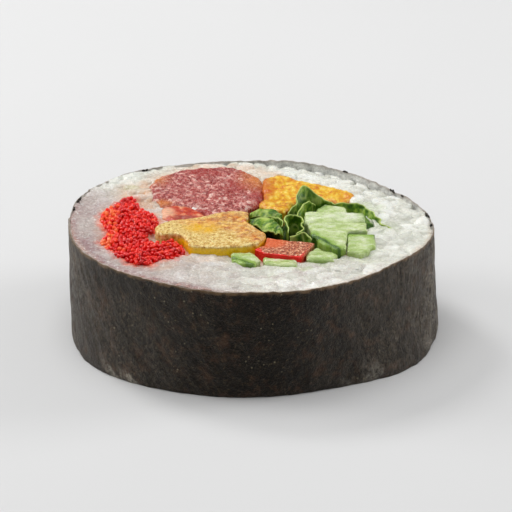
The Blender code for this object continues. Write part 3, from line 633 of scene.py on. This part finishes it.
def lettuce_material():
    shader = Shader("lettuce_looks", (0.15, (0.6, 1.0, 0.3), 0.5), Roughness=0.42, Specular_IOR_Level=0.35)
    leaf = shader.ramp(shader.noise(0.6, 5, 0.7), (0.36, 36, 74, 10), (0.5, 80, 120, 26),
                       (0.62, 146, 172, 62))
    # The leaves are painted darker where they lie deep: painted shade.
    colour = shader.tint(leaf, pale=(186, 202, 112), deep=(10, 22, 6))
    return shader.finish(colour, shader.noise(1.0, 4), 0.25)


def floor_material():
    shader = Shader("floor_looks", Roughness=1.0, Specular_IOR_Level=0.0)
    colour = shader.ramp(shader.noise(0.01), (0.3, 206.7, 206.7, 206.7), (0.7, 208.2, 208.2, 208.2))
    return shader.finish(colour)


def box_of(outline):
    return (*outline.min(0), *outline.max(0))


def blob(points, x, y, width, depth, edge=0.6):
    """One inside an ellipse about a place in the plan, fading to nothing at its edge."""
    reach = np.hypot((points[:, 0] - x) / width, (points[:, 1] - y) / depth)
    return 1 - smooth_step(1 - edge, 1.0, reach)


def blobs(points, places, edge=0.6):
    """Sum of blobs, each with a strength, a place and two half widths."""
    return sum(strength * blob(points, *place, edge) for strength, *place in places)


def about_axis(points):
    """Angle in degrees and distance about the roll's axis."""
    away = points[:, :2] - ROLL_AXIS
    return np.degrees(np.arctan2(away[:, 1], away[:, 0])), np.hypot(*away.T)


def rim_dip(points):
    """How far the rice has sunk where it draws back from the nori."""
    angle, radius = about_axis(points)
    near_rim = smooth_step(*RIM_DIP_SHARES, radius / wall_radius(angle, SLICE_HEIGHT))
    return RIM_DIP_DEPTH * bell(angle, RIM_DIP_ANGLE, RIM_DIP_WIDTH) * near_rim


def smoothness(points):
    """Where the knife has smeared the rice smooth: most at the left and the front."""
    lean = -0.6 * points[:, 0] - 0.8 * points[:, 1]
    return 0.85 * smooth_step(-4, 14, lean + 3 * noise(points[:, 0], points[:, 1], 6, 5))


def seam_share(points):
    """One in the seams between fillings that touch, nothing outside them."""
    share = np.zeros(len(points))
    for seam in SEAMS:
        inside = polygon_distance(points, np.array(seam) + ROLL_AXIS)
        share = np.maximum(share, smooth_step(0.5, -0.5, inside))
    return share


def grain_field(points, grains):
    """Height of packed grains over each point, and a number that tells the grains apart."""
    height = np.full(len(points), RICE_FLOOR)
    mark = np.zeros(len(points))
    for x, y, depth, long_half, short_half, turn, tilt, number in grains:
        near = np.nonzero((abs(points[:, 0] - x) < long_half) & (abs(points[:, 1] - y) < long_half))[0]
        if not len(near):
            continue
        cos, sin, flat, steep = math.cos(turn), math.sin(turn), math.cos(tilt), math.sin(tilt)
        axes = np.array([[cos * flat, sin * flat, steep], [-sin, cos, 0.0],
                         [-cos * steep, -sin * steep, flat]])
        shape = axes.T @ np.diag([long_half**-2, short_half**-2, short_half**-2]) @ axes
        dx, dy = points[near, 0] - x, points[near, 1] - y
        slope = shape[0, 2] * dx + shape[1, 2] * dy
        rest = shape[0, 0] * dx**2 + 2 * shape[0, 1] * dx * dy + shape[1, 1] * dy**2 - 1
        root = slope**2 - shape[2, 2] * rest
        hit = root > 0
        level = depth + (np.sqrt(root[hit]) - slope[hit]) / shape[2, 2]
        chosen = near[hit]
        higher = level > height[chosen]
        height[chosen[higher]] = level[higher]
        mark[chosen[higher]] = number
    return height, mark


def make_grains(limit, seed):
    """For each grain: x, y, depth, half length, half width, turn, tilt and a number that tells it apart."""
    rng = np.random.default_rng(seed)
    box = (-limit, -limit, limit, limit)
    points = spaced_points(lambda p: np.hypot(*p.T) < limit, box, GRAIN_SPACING, GRAIN_TRIES, rng)
    count = len(points)
    return np.column_stack([points, *(rng.uniform(*reach, count) for reach in
                                      (GRAIN_DEPTHS, GRAIN_HALF_LENGTHS, GRAIN_HALF_WIDTHS, (0, math.pi))),
                            rng.normal(0, GRAIN_TILT, count), rng.uniform(0, 1, count)])


def make_rice(outlines):
    limit = ROLL_RADIUS + 3
    upper_grains, lower_grains = make_grains(limit, 11), make_grains(limit, 12)
    rooms = [*outlines.values(), np.array(LEAF_SPACE) + ROLL_AXIS]

    def distance(points):
        angle, radius = about_axis(points)
        result = radius - (wall_radius(angle, SLICE_HEIGHT) - NORI_THICKNESS)
        for room in rooms:
            result = np.maximum(result, -polygon_distance(points, room) - 0.12)
        return result

    def relief(points, grains):
        height, _ = grain_field(points, grains)
        x, y = points.T
        packed = np.maximum(height - 0.12, -0.35 + 0.15 * noise(x, y, 1.4, 33))
        cut = np.where(packed > 0, 0.1 * np.tanh(packed / 0.1), packed)
        level = cut + 0.1 * cloud(points, 1.5, 31) + 0.05 * pebbles(points, 0.7, 32)[0]
        smear = -0.12 + 0.3 * cloud(points, 3.2, 41)
        share = smoothness(points)
        return level * (1 - share) + np.maximum(level, smear - 0.35) * share * 0.45 + smear * share * 0.55

    def seams(points):
        """One in the seams and in thin strips of rice between two fillings."""
        near = sum(smooth_step(1.1, 0.3, polygon_distance(points, room)) for room in rooms)
        return np.maximum(seam_share(points), smooth_step(1.0, 1.5, near))

    def top(points):
        sunk = rim_dip(points) + SEAM_DEPTH * seams(points)
        return cut_height(points[:, 0]) + relief(points, upper_grains) - sunk

    def bottom(points):
        return np.maximum(0.25 - relief(points, lower_grains) * 0.6, 0.02)

    def values(vertices):
        plan, (x, y) = vertices[:, :2], vertices.T[:2]
        smooth = smoothness(plan)
        angle, radius = about_axis(plan)
        reach = wall_radius(angle, SLICE_HEIGHT) - radius
        left = smooth_step(-6, -24, x + 0.3 * y)
        lilac = (0.19 + 0.85 * left) * smooth * (0.9 + 0.5 * cloud(plan, 5, 51))
        # Painted shade: the rice greyer and darker within a few millimetres of the nori at the front left.
        lilac += 0.5 * smooth_step(2.4, 0.3, reach) * smooth_step(2, -10, x) * smooth_step(4, -6, y)
        peach = blobs(plan, PEACH_STAINS) + 0.9 * seams(plan)
        peach += 0.35 * smooth_step(1.3, 0.3, reach) * smooth_step(8, -4, y)
        from_roe = polygon_distance(plan, outlines["roe"]) + 0.5 * noise(x, y, 1.2, 62)
        fade = smooth_step(-3.0, -0.6, vertices[:, 2] - cut_height(x))
        patch = fade * (0.6 + 0.4 * cloud(plan, 1.6, 61))
        return {"grain": grain_field(plan, upper_grains)[1], "lilac": np.clip(lilac, 0, 1),
                "peach": np.clip(peach, 0, 1) * patch,
                "green": np.clip(blobs(plan, GREEN_STAINS), 0, 1) * patch,
                "blush": 0.8 * smooth_step(1.5, -0.1, from_roe) * fade, "veil": 0.2 + 0.6 * smooth}

    def follow_wall(vertices):
        """Moves the rice near the wall out or in with the wall's foot."""
        angle, radius = about_axis(vertices)
        rim = wall_radius(angle, SLICE_HEIGHT)
        drawn_in = 0.3 * smooth_step(-0.2, -1.2, vertices[:, 2] - cut_height(vertices[:, 0]))
        shift = wall_radius(angle, vertices[:, 2]) - rim - drawn_in
        scale = 1 + shift * smooth_step(0.7, 1.0, radius / rim) / np.maximum(radius, 1e-6)
        return np.column_stack([ROLL_AXIS + (vertices[:, :2] - ROLL_AXIS) * scale[:, None], vertices[:, 2]])

    box = (-limit, -limit, limit, limit)
    material = rice_material()
    core = slab("rice_packed", distance, box, RICE_SPACING, top, bottom, material, values, warp=follow_wall)
    stands_for(core, "rice", "rice")

    roomy = (distance(upper_grains[:, :2]) < -0.7) & (seam_share(upper_grains[:, :2]) < 0.2)
    kept = upper_grains[roomy]
    plan, smooth = kept[:, :2], smoothness(kept[:, :2])
    whole = (kept[:, 7] > WHOLE_GRAINS_FROM) & (smooth < 0.3)
    sunk = rim_dip(plan) + SEAM_DEPTH * seam_share(plan) + 0.25 * smooth - 0.25 * whole
    centres = np.column_stack([plan, cut_height(plan[:, 0]) + kept[:, 2] - sunk])
    vertices, faces, numbers = balls(centres, kept[:, [3, 4, 4]], kept[:, 5], kept[:, 6], 12, 8,
                                     {"grain": kept[:, 7], "whole": whole.astype(float), "sunk": sunk})
    over = vertices[:, 2] - cut_height(vertices[:, 0]) + numbers["sunk"]
    flat = 0.05 + 0.1 * noise(vertices[:, 0], vertices[:, 1], 2.0, 34) + 0.4 * numbers["whole"]
    vertices[:, 2] -= np.maximum(over - flat, 0) * 0.85
    pressed = distance(vertices[:, :2]) > -GRAIN_GAP
    vertices[pressed, :2] = onto_border(vertices[pressed, :2], lambda points: distance(points) + GRAIN_GAP)
    numbers = {**values(vertices), "grain": numbers["grain"]}
    stands_for(make_mesh("rice_grains", vertices, faces, material, numbers), "rice")


def make_nori():
    around = np.arange(NORI_AROUND) * 360 / NORI_AROUND

    def ring_noise(height, cell_along, cell_up, seed):
        """Noise on the wall that closes on itself after one turn."""
        cells = max(round(2 * math.pi * ROLL_RADIUS / cell_along), 3)
        reach = cells * cell_along / (2 * math.pi)
        rise = height * cell_along / cell_up
        return noise(reach * np.cos(np.radians(around)) + 0.37 * rise,
                     reach * np.sin(np.radians(around)) - 0.61 * rise, cell_along, seed)

    ragged = 0.10 * ring_noise(0.0, 1.1, 1.0, 3) + 0.06 * ring_noise(0.0, 0.45, 1.0, 4)
    rim = cut_height(ROLL_AXIS[0] + ROLL_RADIUS * np.cos(np.radians(around)))
    rim = rim + wave_sum(RIM_WAVES, around) + ragged
    foot = 0.02 + 0.12 * np.abs(ring_noise(0.0, 2.2, 1.0, 8))
    # Strength round the wall of wear, scuffs and pale patches, each partly painted sheen at the sides.
    sides, scuffed_and_sheen, dusty_and_sheen = (sum(strength * bell(around, *place) for strength, *place in places)
                             for places in (WORN_AND_SHEEN_SIDES, SCUFFED_AND_SHEEN_SIDES, DUSTY_AND_SHEEN_SIDES))
    rows, values = [], {name: [] for name in NORI_VALUES}

    def inner_offset(height):
        return -NORI_THICKNESS - 0.02 - 0.2 * smooth_step(0.2, 1.0, rim - height)

    def add_row(height, offset, is_inside):
        radius = wall_radius(around, height) + offset
        rows.append(np.column_stack([ROLL_AXIS[0] + radius * np.cos(np.radians(around)),
                                     ROLL_AXIS[1] + radius * np.sin(np.radians(around)), height]))
        values["inside"].append(np.full(NORI_AROUND, float(is_inside)))
        patches = ring_noise(height, 2.6, 1.6, 21) + 0.5 * ring_noise(height, 0.9, 0.7, 22)
        # Pale near the foot: a smudge at the lower left, painted sheen at the lower right.
        dust_and_sheen = 0.75 * smooth_step(5.0, 0.5, height) * dusty_and_sheen * smooth_step(0.1, 0.7, patches)
        values["dust_and_sheen"].append(np.clip(dust_and_sheen, 0, 1))
        drift = 0.6 * ring_noise(height, 5.0, 3.0, 23) + 0.5 * ring_noise(height, 1.5, 1.0, 24)
        # Scuffs low on the two thirds, with painted sheen on the left one.
        rubbed_and_sheen = 0.2 * scuffed_and_sheen * smooth_step(0.0, 0.6, ring_noise(height, 6.0, 5.0, 26) + 0.3 * drift)
        # Lighter at the left and right sides: wear, and painted sheen where the lamps graze the wall.
        worn_and_sheen = sides * (0.6 + 0.5 * drift) + rubbed_and_sheen * smooth_step(17, 12, height)
        values["worn_and_sheen"].append(np.clip(worn_and_sheen, 0, 1))
        edge = smooth_step(0.45, 0.1, rim - height + 0.2 * ring_noise(height, 0.8, 0.8, 25))
        values["fringe"].append(0.75 * edge * (1 - 0.6 * is_inside))

    for row in range(NORI_UP + 1):
        height = foot + (rim - foot) * row / NORI_UP
        crease = 0.16 * np.abs(ring_noise(height, 4.0, 6.0, 5))
        crease = (1 + 0.9 * sides) * (crease + 0.08 * np.abs(ring_noise(height, 1.5, 1.7, 6)))
        crumple = 0.07 * ring_noise(height, 1.6, 1.0, 7) + 0.05 * ring_noise(height, 0.7, 0.6, 9)
        tuck = -0.2 * smooth_step(1.0, 0.0, height - foot)
        add_row(height, np.maximum(0.07 - crease + crumple + tuck, inner_offset(height) + 0.1), False)
    for row in range(NORI_INSIDE_ROWS + 1):
        height = rim - (rim - foot) * (row / NORI_INSIDE_ROWS) ** 2
        add_row(height, inner_offset(height), True)
    here = np.arange(len(rows) * NORI_AROUND).reshape(len(rows), NORI_AROUND)
    above = np.roll(here, -1, axis=0)
    quads = np.stack([here, np.roll(here, -1, axis=1), np.roll(above, -1, axis=1), above], -1).reshape(-1, 4)
    values = {name: np.concatenate(numbers) for name, numbers in values.items()}
    stands_for(make_mesh("nori_sheet", np.concatenate(rows), quads, nori_material(), values), "nori", "nori")


def make_filling(outlines, node, name, slot, material, relief, values, *, spacing, rise, round_over, ragged,
                 grow):
    """Filling that runs through the slice: its outline grown and torn ragged, its upper edge rounded.

    Relief takes points in the plan and gives the height to add there. Values takes the vertices.
    """
    outline = outlines[node]

    def distance(points):
        return polygon_distance(points, outline) + ragged * cloud(points, 1.3, 71) - grow

    def top(points):
        edge = np.clip(1 + distance(points) / round_over, 0, 1)
        return cut_height(points[:, 0]) + rise - 0.6 * round_over * edge**2 + relief(points)

    def bottom(points):
        return 0.04 + 0.05 * (1 + noise(*points.T, 1.0, 73))

    stands_for(slab(name, distance, box_of(outline), spacing, top, bottom, material, values), slot, node)


def make_roe(outline):
    """Two levels of eggs on the cut, two rows down the side, more at the foot, and a core within them."""
    rng = np.random.default_rng(5)
    box = box_of(outline)
    material = roe_material()

    def distance(points):
        return polygon_distance(points, outline)

    centres = []
    for level, outside in enumerate((0.15, -0.25)):
        points = spaced_points(lambda p, reach=outside: distance(p) < reach, box, EGG_SPACING, 5200, rng)
        inward = np.clip(-distance(points), 0, ROE_MOUND_WIDTH) / ROE_MOUND_WIDTH
        mound = 0.30 * np.sqrt(inward) + 0.22 * cloud(points, 2.2, 81)
        uneven = rng.uniform(-0.14, 0.14, len(points))
        height = cut_height(points[:, 0]) + 0.05 + mound - 0.42 * level + uneven
        centres.append(np.column_stack([points, height]))
    for depth in (0.5, 1.0):
        points = spaced_points(lambda p: np.abs(distance(p) + 0.3) < 0.15, box, EGG_SPACING, 5000, rng)
        centres.append(np.column_stack([points, cut_height(points[:, 0]) - depth]))
    points = spaced_points(lambda p: distance(p) < -0.3, box, 0.75, 3000, rng)
    centres.append(np.column_stack([points, np.full(len(points), EGG_RADIUS + 0.05)]))
    centres = np.concatenate(centres)
    count = len(centres)
    sizes = EGG_RADIUS * rng.uniform(0.88, 1.12, (count, 1)) * np.ones(3)
    margin = blob(centres, -24.0, -3.0, 2.4, 14.0)
    egg = rng.uniform(0.0, 0.8, count) + 0.5 * margin + 0.15 * noise(*centres[:, :2].T, 2.6, 82)
    vertices, faces, values = balls(centres, sizes, rng.uniform(0, 3, count), rng.uniform(0, 1, count), 8, 6,
                                    {"egg": np.clip(egg, 0, 1)})
    stands_for(make_mesh("roe_eggs", vertices, faces, material, values), "roe", "roe")
    core = slab("roe_core", lambda p: distance(p) + 0.3, box, 0.5, lambda p: cut_height(p[:, 0]) - 0.35,
                lambda p: np.full(len(p), 0.35), material, lambda v: {"egg": np.full(len(v), 0.1)})
    stands_for(core, "roe")


def make_soft_fillings(outlines):
    def tuna_relief(points):
        return 0.35 * cloud(points, 2.4, 1) + 0.3 * pebbles(points, 0.6, 2)[0] - 0.15

    def tuna_values(vertices):
        torn = cloud(vertices, 1.3, 91)
        return {"dark": np.clip(blobs(vertices, DARK_TUNA), 0, 1) * (0.65 + 0.35 * torn),
                "warm": np.clip(blobs(vertices, WARM_TUNA, 0.9), 0, 1) * (0.7 + 0.3 * torn),
                "mark": pebbles(vertices, 0.6, 2)[1]}

    make_filling(outlines, "tuna", "tuna_mince", "tuna", tuna_material(), tuna_relief, tuna_values,
                 spacing=0.13, rise=0.3, round_over=1.1, ragged=0.4, grow=0.35)

    def fish_relief(points):
        return 0.32 * cloud(points, 1.9, 3) + 0.14 * cloud(points, 0.6, 4)

    def fish_values(vertices):
        return {"dark": 0.8 * blob(vertices, -11.6, 0.6, 2.6, 1.8),
                "pale": 0.8 * blob(vertices, -15.0, 3.2, 2.6, 3.4)}

    make_filling(outlines, "fish_chunk", "fish_flakes", "fish", fish_material(), fish_relief, fish_values,
                 spacing=0.18, rise=0.55, round_over=0.8, ragged=0.3, grow=0.3)

    def omelette_warm(points):
        torn = np.clip(0.6 + 0.5 * cloud(points, 1.5, 92), 0.3, 1)
        return np.clip(blobs(points, WARM_OMELETTE), 0, 1) * torn

    def omelette_relief(points):
        grains = omelette_warm(points) * (0.3 * pebbles(points, 0.7, 7)[0] - 0.1)
        return 0.18 * cloud(points, 3.0, 5) - 0.08 * pebbles(points, 0.6, 6)[0] + grains

    def omelette_values(vertices):
        golden = blob(vertices, -8.4, -6.2, 4.0, 3.0) * (0.78 + 0.65 * cloud(vertices, 0.9, 94))
        # The front side band: the omelette's own yellow, painted brighter to make up for its shade.
        below = smooth_step(0.3, 0.55, cut_height(vertices[:, 0]) + OMELETTE_RISE - vertices[:, 2])
        side = below * smooth_step(-13.8, -11.4, vertices[:, 0])
        return {"warm": omelette_warm(vertices), "golden": np.clip(golden, 0, 1), "side": side,
                "mark": pebbles(vertices, 0.7, 7)[1]}

    make_filling(outlines, "omelette", "omelette_cut", "omelette", omelette_material(), omelette_relief,
                 omelette_values, spacing=0.16, rise=OMELETTE_RISE, round_over=0.35, ragged=0.25, grow=0.3)

    def egg_relief(points):
        return 0.45 * cloud(points, 2.2, 8) + 0.18 * pebbles(points, 1.1, 9)[0] - 0.1

    def egg_values(vertices):
        # Painted shade: darker orange lower down the sheet's side.
        low = 0.8 * smooth_step(0.2, 1.4, cut_height(vertices[:, 0]) + EGG_RISE - vertices[:, 2])
        orange = (blobs(vertices, ORANGE_EGG) + low) * (0.7 + 0.4 * cloud(vertices, 1.2, 93))
        return {"orange": np.clip(orange, 0, 1)}

    make_filling(outlines, "egg_sheet", "egg_folded", "egg", egg_material(), egg_relief, egg_values,
                 spacing=0.17, rise=EGG_RISE, round_over=0.7, ragged=0.35, grow=0.35)


def make_pepper(outlines):
    def relief(points):
        return 0.05 * noise(*points.T, 2.0, 9) + 0.1 * pebbles(points, 0.45, 10)[0] - 0.05

    def values(vertices):
        x, y = vertices.T[:2]
        flank = polygon_distance(vertices[:, :2], outlines["red_pepper"]) + 0.15 * noise(x, y, 0.9, 96)
        front = smooth_step(-0.25, -0.05, flank) * smooth_step(-12.5, -13.5, y) * smooth_step(8.6, 7.0, x)
        return {"side": np.maximum(front, blob(vertices, -0.2, -14.4, 1.7, 1.7, 0.4)),
                "orange": 0.75 * blob(vertices, 2.2, -10.6, 4.2, 3.4)}

    make_filling(outlines, "red_pepper", "pepper_strip", "pepper", pepper_material(), relief, values,
                 spacing=0.13, rise=0.8, round_over=0.12, ragged=0.12, grow=0.1)


def make_cucumbers(outlines):
    material = cucumber_material()

    def relief(points):
        x, y = points.T
        return 0.12 * noise(x * 0.25, y, 0.8, 11) + 0.08 * cloud(points, 0.9, 12)

    for node, (rise, start, end, dark, green) in STICKS.items():
        def values(vertices, skin=np.array([start, end]), dark=dark, green=green):
            plan, (x, y) = vertices[:, :2], vertices.T[:2]
            reach = np.abs(polygon_distance(plan, skin)) + 0.3 * cloud(plan, 1.0, 95)
            frost = blobs(plan, FROSTED_CUCUMBER, 0.9) + 0.5 * blob(plan, 9.6, 0.4, 4.0, 1.6)
            rind = dark * smooth_step(1.9, 0.3, reach) + green * (0.6 + 0.6 * noise(x, y, 1.1, 98))
            return {"skin": dark * smooth_step(0.6, 0.1, reach), "rind": np.clip(rind, 0, 1),
                    "frost": frost * (0.6 + 0.4 * noise(x, y, 0.9, 97))}

        make_filling(outlines, node, f"{node}_cut", "cucumber", material, relief, values,
                     spacing=0.16, rise=rise, round_over=0.45, ragged=0.35, grow=0.25)


def smooth_path(stations, steps):
    """Open smooth path through the stations."""
    padded = np.array([stations[0], *stations, stations[-1]])
    points = []
    for i in range(len(stations) - 1):
        before, first, second, after = padded[i:i + 4]
        for share in np.arange(steps) / steps:
            points.append(0.5 * (2 * first + (second - before) * share
                                 + (2 * before - 5 * first + 4 * second - after) * share**2
                                 + (3 * first - before - 3 * second + after) * share**3))
    return np.array([*points, padded[-1]])


def leaf_profile(shares, drop):
    """For rows of a leaf: share of the lean, share of the height and how far each hangs under the fold."""
    if drop is None:
        return np.clip((shares - LEAN_FROM) / (1 - LEAN_FROM), 0, None) ** 2, shares, 0 * shares
    past = FOLD_SOFTNESS * np.log1p(np.exp((shares - FOLD_FROM) / FOLD_SOFTNESS))
    over = past / (1 - FOLD_FROM)
    return over, (shares - past) / FOLD_FROM, drop * over**2


def grid_normals(grid):
    across = np.cross(np.gradient(grid, axis=0), np.gradient(grid, axis=1))
    return across / np.maximum(np.linalg.norm(across, axis=2, keepdims=True), 1e-9)


def make_leaf(name, stations, material, seed):
    path = smooth_path(stations, LEAF_ALONG)
    path[:, :2] += ROLL_AXIS
    x, y, rise, lean_x, lean_y = path.T
    length = np.concatenate([[0], np.cumsum(np.hypot(np.diff(x), np.diff(y)))])[None]
    shares = np.concatenate([np.linspace(0, LEAF_SHOWS_FROM, LEAF_HIDDEN_ROWS, endpoint=False),
                             np.linspace(LEAF_SHOWS_FROM, 1, LEAF_SHOWN_ROWS)])[:, None]
    bend, up, hang = leaf_profile(shares, FOLDED_LEAVES.get(name))
    tip = cut_height(x) + rise + 0.12 * noise(length[0], 0 * length[0], 0.7, seed)
    grid = np.stack([x + lean_x * bend, y + lean_y * bend, up * tip - hang], -1)
    along, run = length + 0 * shares, SLICE_HEIGHT * shares + 0 * length
    vein = np.abs(noise(along + 0.35 * run, run * 0.5, 1.1, seed + 1))
    ruffle = 0.42 * smooth_step(0.88, 1.0, shares) * noise(along, run * 0.4, 0.9, seed + 4)
    wave = 0.16 * noise(along, run, 1.8, seed + 2) + 0.1 * vein + ruffle
    grid = grid + grid_normals(grid) * wave[..., None]
    reach = grid_normals(grid) * (LEAF_THICKNESS / 2 * (1 - 0.5 * shares**8))[..., None]
    below = cut_height(grid[..., 0]) - grid[..., 2]
    pale = 0.8 * smooth_step(0.985, 1.0, shares) + 0.6 * smooth_step(0.25, 0.03, vein) * (below < 1.5)
    index = np.arange(run.size).reshape(run.shape)
    front = np.stack([index[:-1, :-1], index[:-1, 1:], index[1:, 1:], index[1:, :-1]], -1).reshape(-1, 4)
    border = np.concatenate([index[0, ::-1], index[1:, 0], index[-1, 1:], index[-2:0:-1, -1]])
    after = np.roll(border, -1)
    edge = np.stack([border, after, after + index.size, border + index.size], -1)
    vertices = np.concatenate([(grid - reach).reshape(-1, 3), (grid + reach).reshape(-1, 3)])
    # Painted shade: the leaves darker the further they lie below the cut.
    values = {"pale": np.tile(np.clip(pale, 0, 1).ravel(), 2),
              "deep": np.tile(smooth_step(0.2, 2.2, below).ravel(), 2)}
    faces = np.concatenate([front, front[:, ::-1] + index.size, edge])
    stands_for(make_mesh(f"{name}_leaf", vertices, faces, material, values), "lettuce", name)


def make_lettuce(rooms):
    material = lettuce_material()
    for number, (name, stations) in enumerate(LEAVES.items()):
        make_leaf(name, stations, material, 200 + 10 * number)
    outline = np.array(LEAF_SPACE) + ROLL_AXIS

    def distance(points):
        result = polygon_distance(points, outline) - 0.1
        for room in rooms:
            result = np.maximum(result, -polygon_distance(points, room) - 0.3)
        return result

    def top(points):
        raised = smooth_step(*FOLDS_RISE, points[:, 0])
        return cut_height(points[:, 0]) - 2.2 + 1.6 * raised + (0.9 - 0.2 * raised) * cloud(points, 1.6, 301)

    def bottom(points):
        return 0.1 + 0.1 * (1 + noise(*points.T, 0.8, 303))

    def values(vertices):
        # Painted shade: the folds darker where they lie low, at the left.
        deep = (1 - 0.7 * smooth_step(*FOLDS_RISE, vertices[:, 0])) * (0.5 + 0.3 * cloud(vertices, 1.0, 305))
        return {"pale": np.zeros(len(vertices)), "deep": deep}

    folds = slab("lettuce_folds", distance, box_of(outline), 0.22, top, bottom, material, values)
    stands_for(folds, "lettuce", "lettuce_heart")


def make_crumbs():
    """Torn bits of nori that stand at the rim, each of them four flat crumbs."""
    rng = np.random.default_rng(9)
    centres, sizes, turns = [], [], []
    for angle, length, height in NORI_BITS:
        for _ in range(4):
            here = angle + rng.uniform(-0.5, 0.5) * math.degrees(length / ROLL_RADIUS)
            radius = wall_radius(np.array(here), SLICE_HEIGHT) - 0.2 - rng.uniform(0, 0.35)
            x = ROLL_AXIS[0] + radius * math.cos(math.radians(here))
            y = ROLL_AXIS[1] + radius * math.sin(math.radians(here))
            centres.append((x, y, cut_height(x) + rng.uniform(0, 0.4 * height)))
            sizes.append((0.28 * length, 0.14, 0.5 * height))
            turns.append(math.radians(here + 90) + rng.uniform(-0.4, 0.4))
    count = len(centres)
    values = dict.fromkeys(NORI_VALUES, np.zeros(count))
    tilts = rng.uniform(-0.3, 0.3, count)
    vertices, faces, values = balls(np.array(centres), sizes, np.array(turns), tilts, 8, 6, values)
    stands_for(make_mesh("nori_crumbs", vertices, faces, nori_material(), values), "nori")


def make_floor():
    corners = [(x * FLOOR_HALF, y * FLOOR_HALF, 0) for x, y in ((-1, -1), (1, -1), (1, 1), (-1, 1))]
    make_mesh("floor", corners, [(0, 1, 2, 3)], floor_material(), smooth=False)


def make_light(name, place, size, power):
    light = bpy.data.lights.new(name, "AREA")
    light.shape = "RECTANGLE"
    light.size, light.size_y = size
    light.energy = power
    made = bpy.data.objects.new(name, light)
    made.location = place
    made.rotation_euler = (Vector(LIGHTS_AIM) - Vector(place)).to_track_quat("-Z", "Y").to_euler()
    bpy.context.scene.collection.objects.link(made)


def make_stage():
    make_floor()
    for name, (place, size, power) in LIGHTS.items():
        make_light(name, place, size, power)
    world = bpy.data.worlds.new("studio")
    world.use_nodes = True
    background = world.node_tree.nodes["Background"].inputs
    background["Color"].default_value = (1, 1, 1, 1)
    background["Strength"].default_value = WORLD_STRENGTH
    scene = bpy.context.scene
    scene.world = world
    scene.view_settings.view_transform = "Standard"
    camera = bpy.data.cameras.new("camera")
    camera.lens = CAMERA_LENS
    camera.sensor_width = 36
    camera.clip_end = 10
    made = bpy.data.objects.new("camera", camera)
    elevation = math.radians(CAMERA_ELEVATION)
    away = Vector((0, -math.cos(elevation), math.sin(elevation))) * CAMERA_DISTANCE
    made.location = (Vector(CAMERA_AIM) + away) * MM
    made.rotation_euler = (math.pi / 2 - elevation, 0, 0)
    scene.collection.objects.link(made)
    scene.camera = made


plans = {name: node_outline(name) for name in FILLINGS}
make_roe(plans["roe"])
make_soft_fillings(plans)
make_pepper(plans)
make_cucumbers(plans)
make_lettuce(list(plans.values()))
make_rice(plans)
make_nori()
make_crumbs()
make_stage()

bpy.context.view_layer.update()
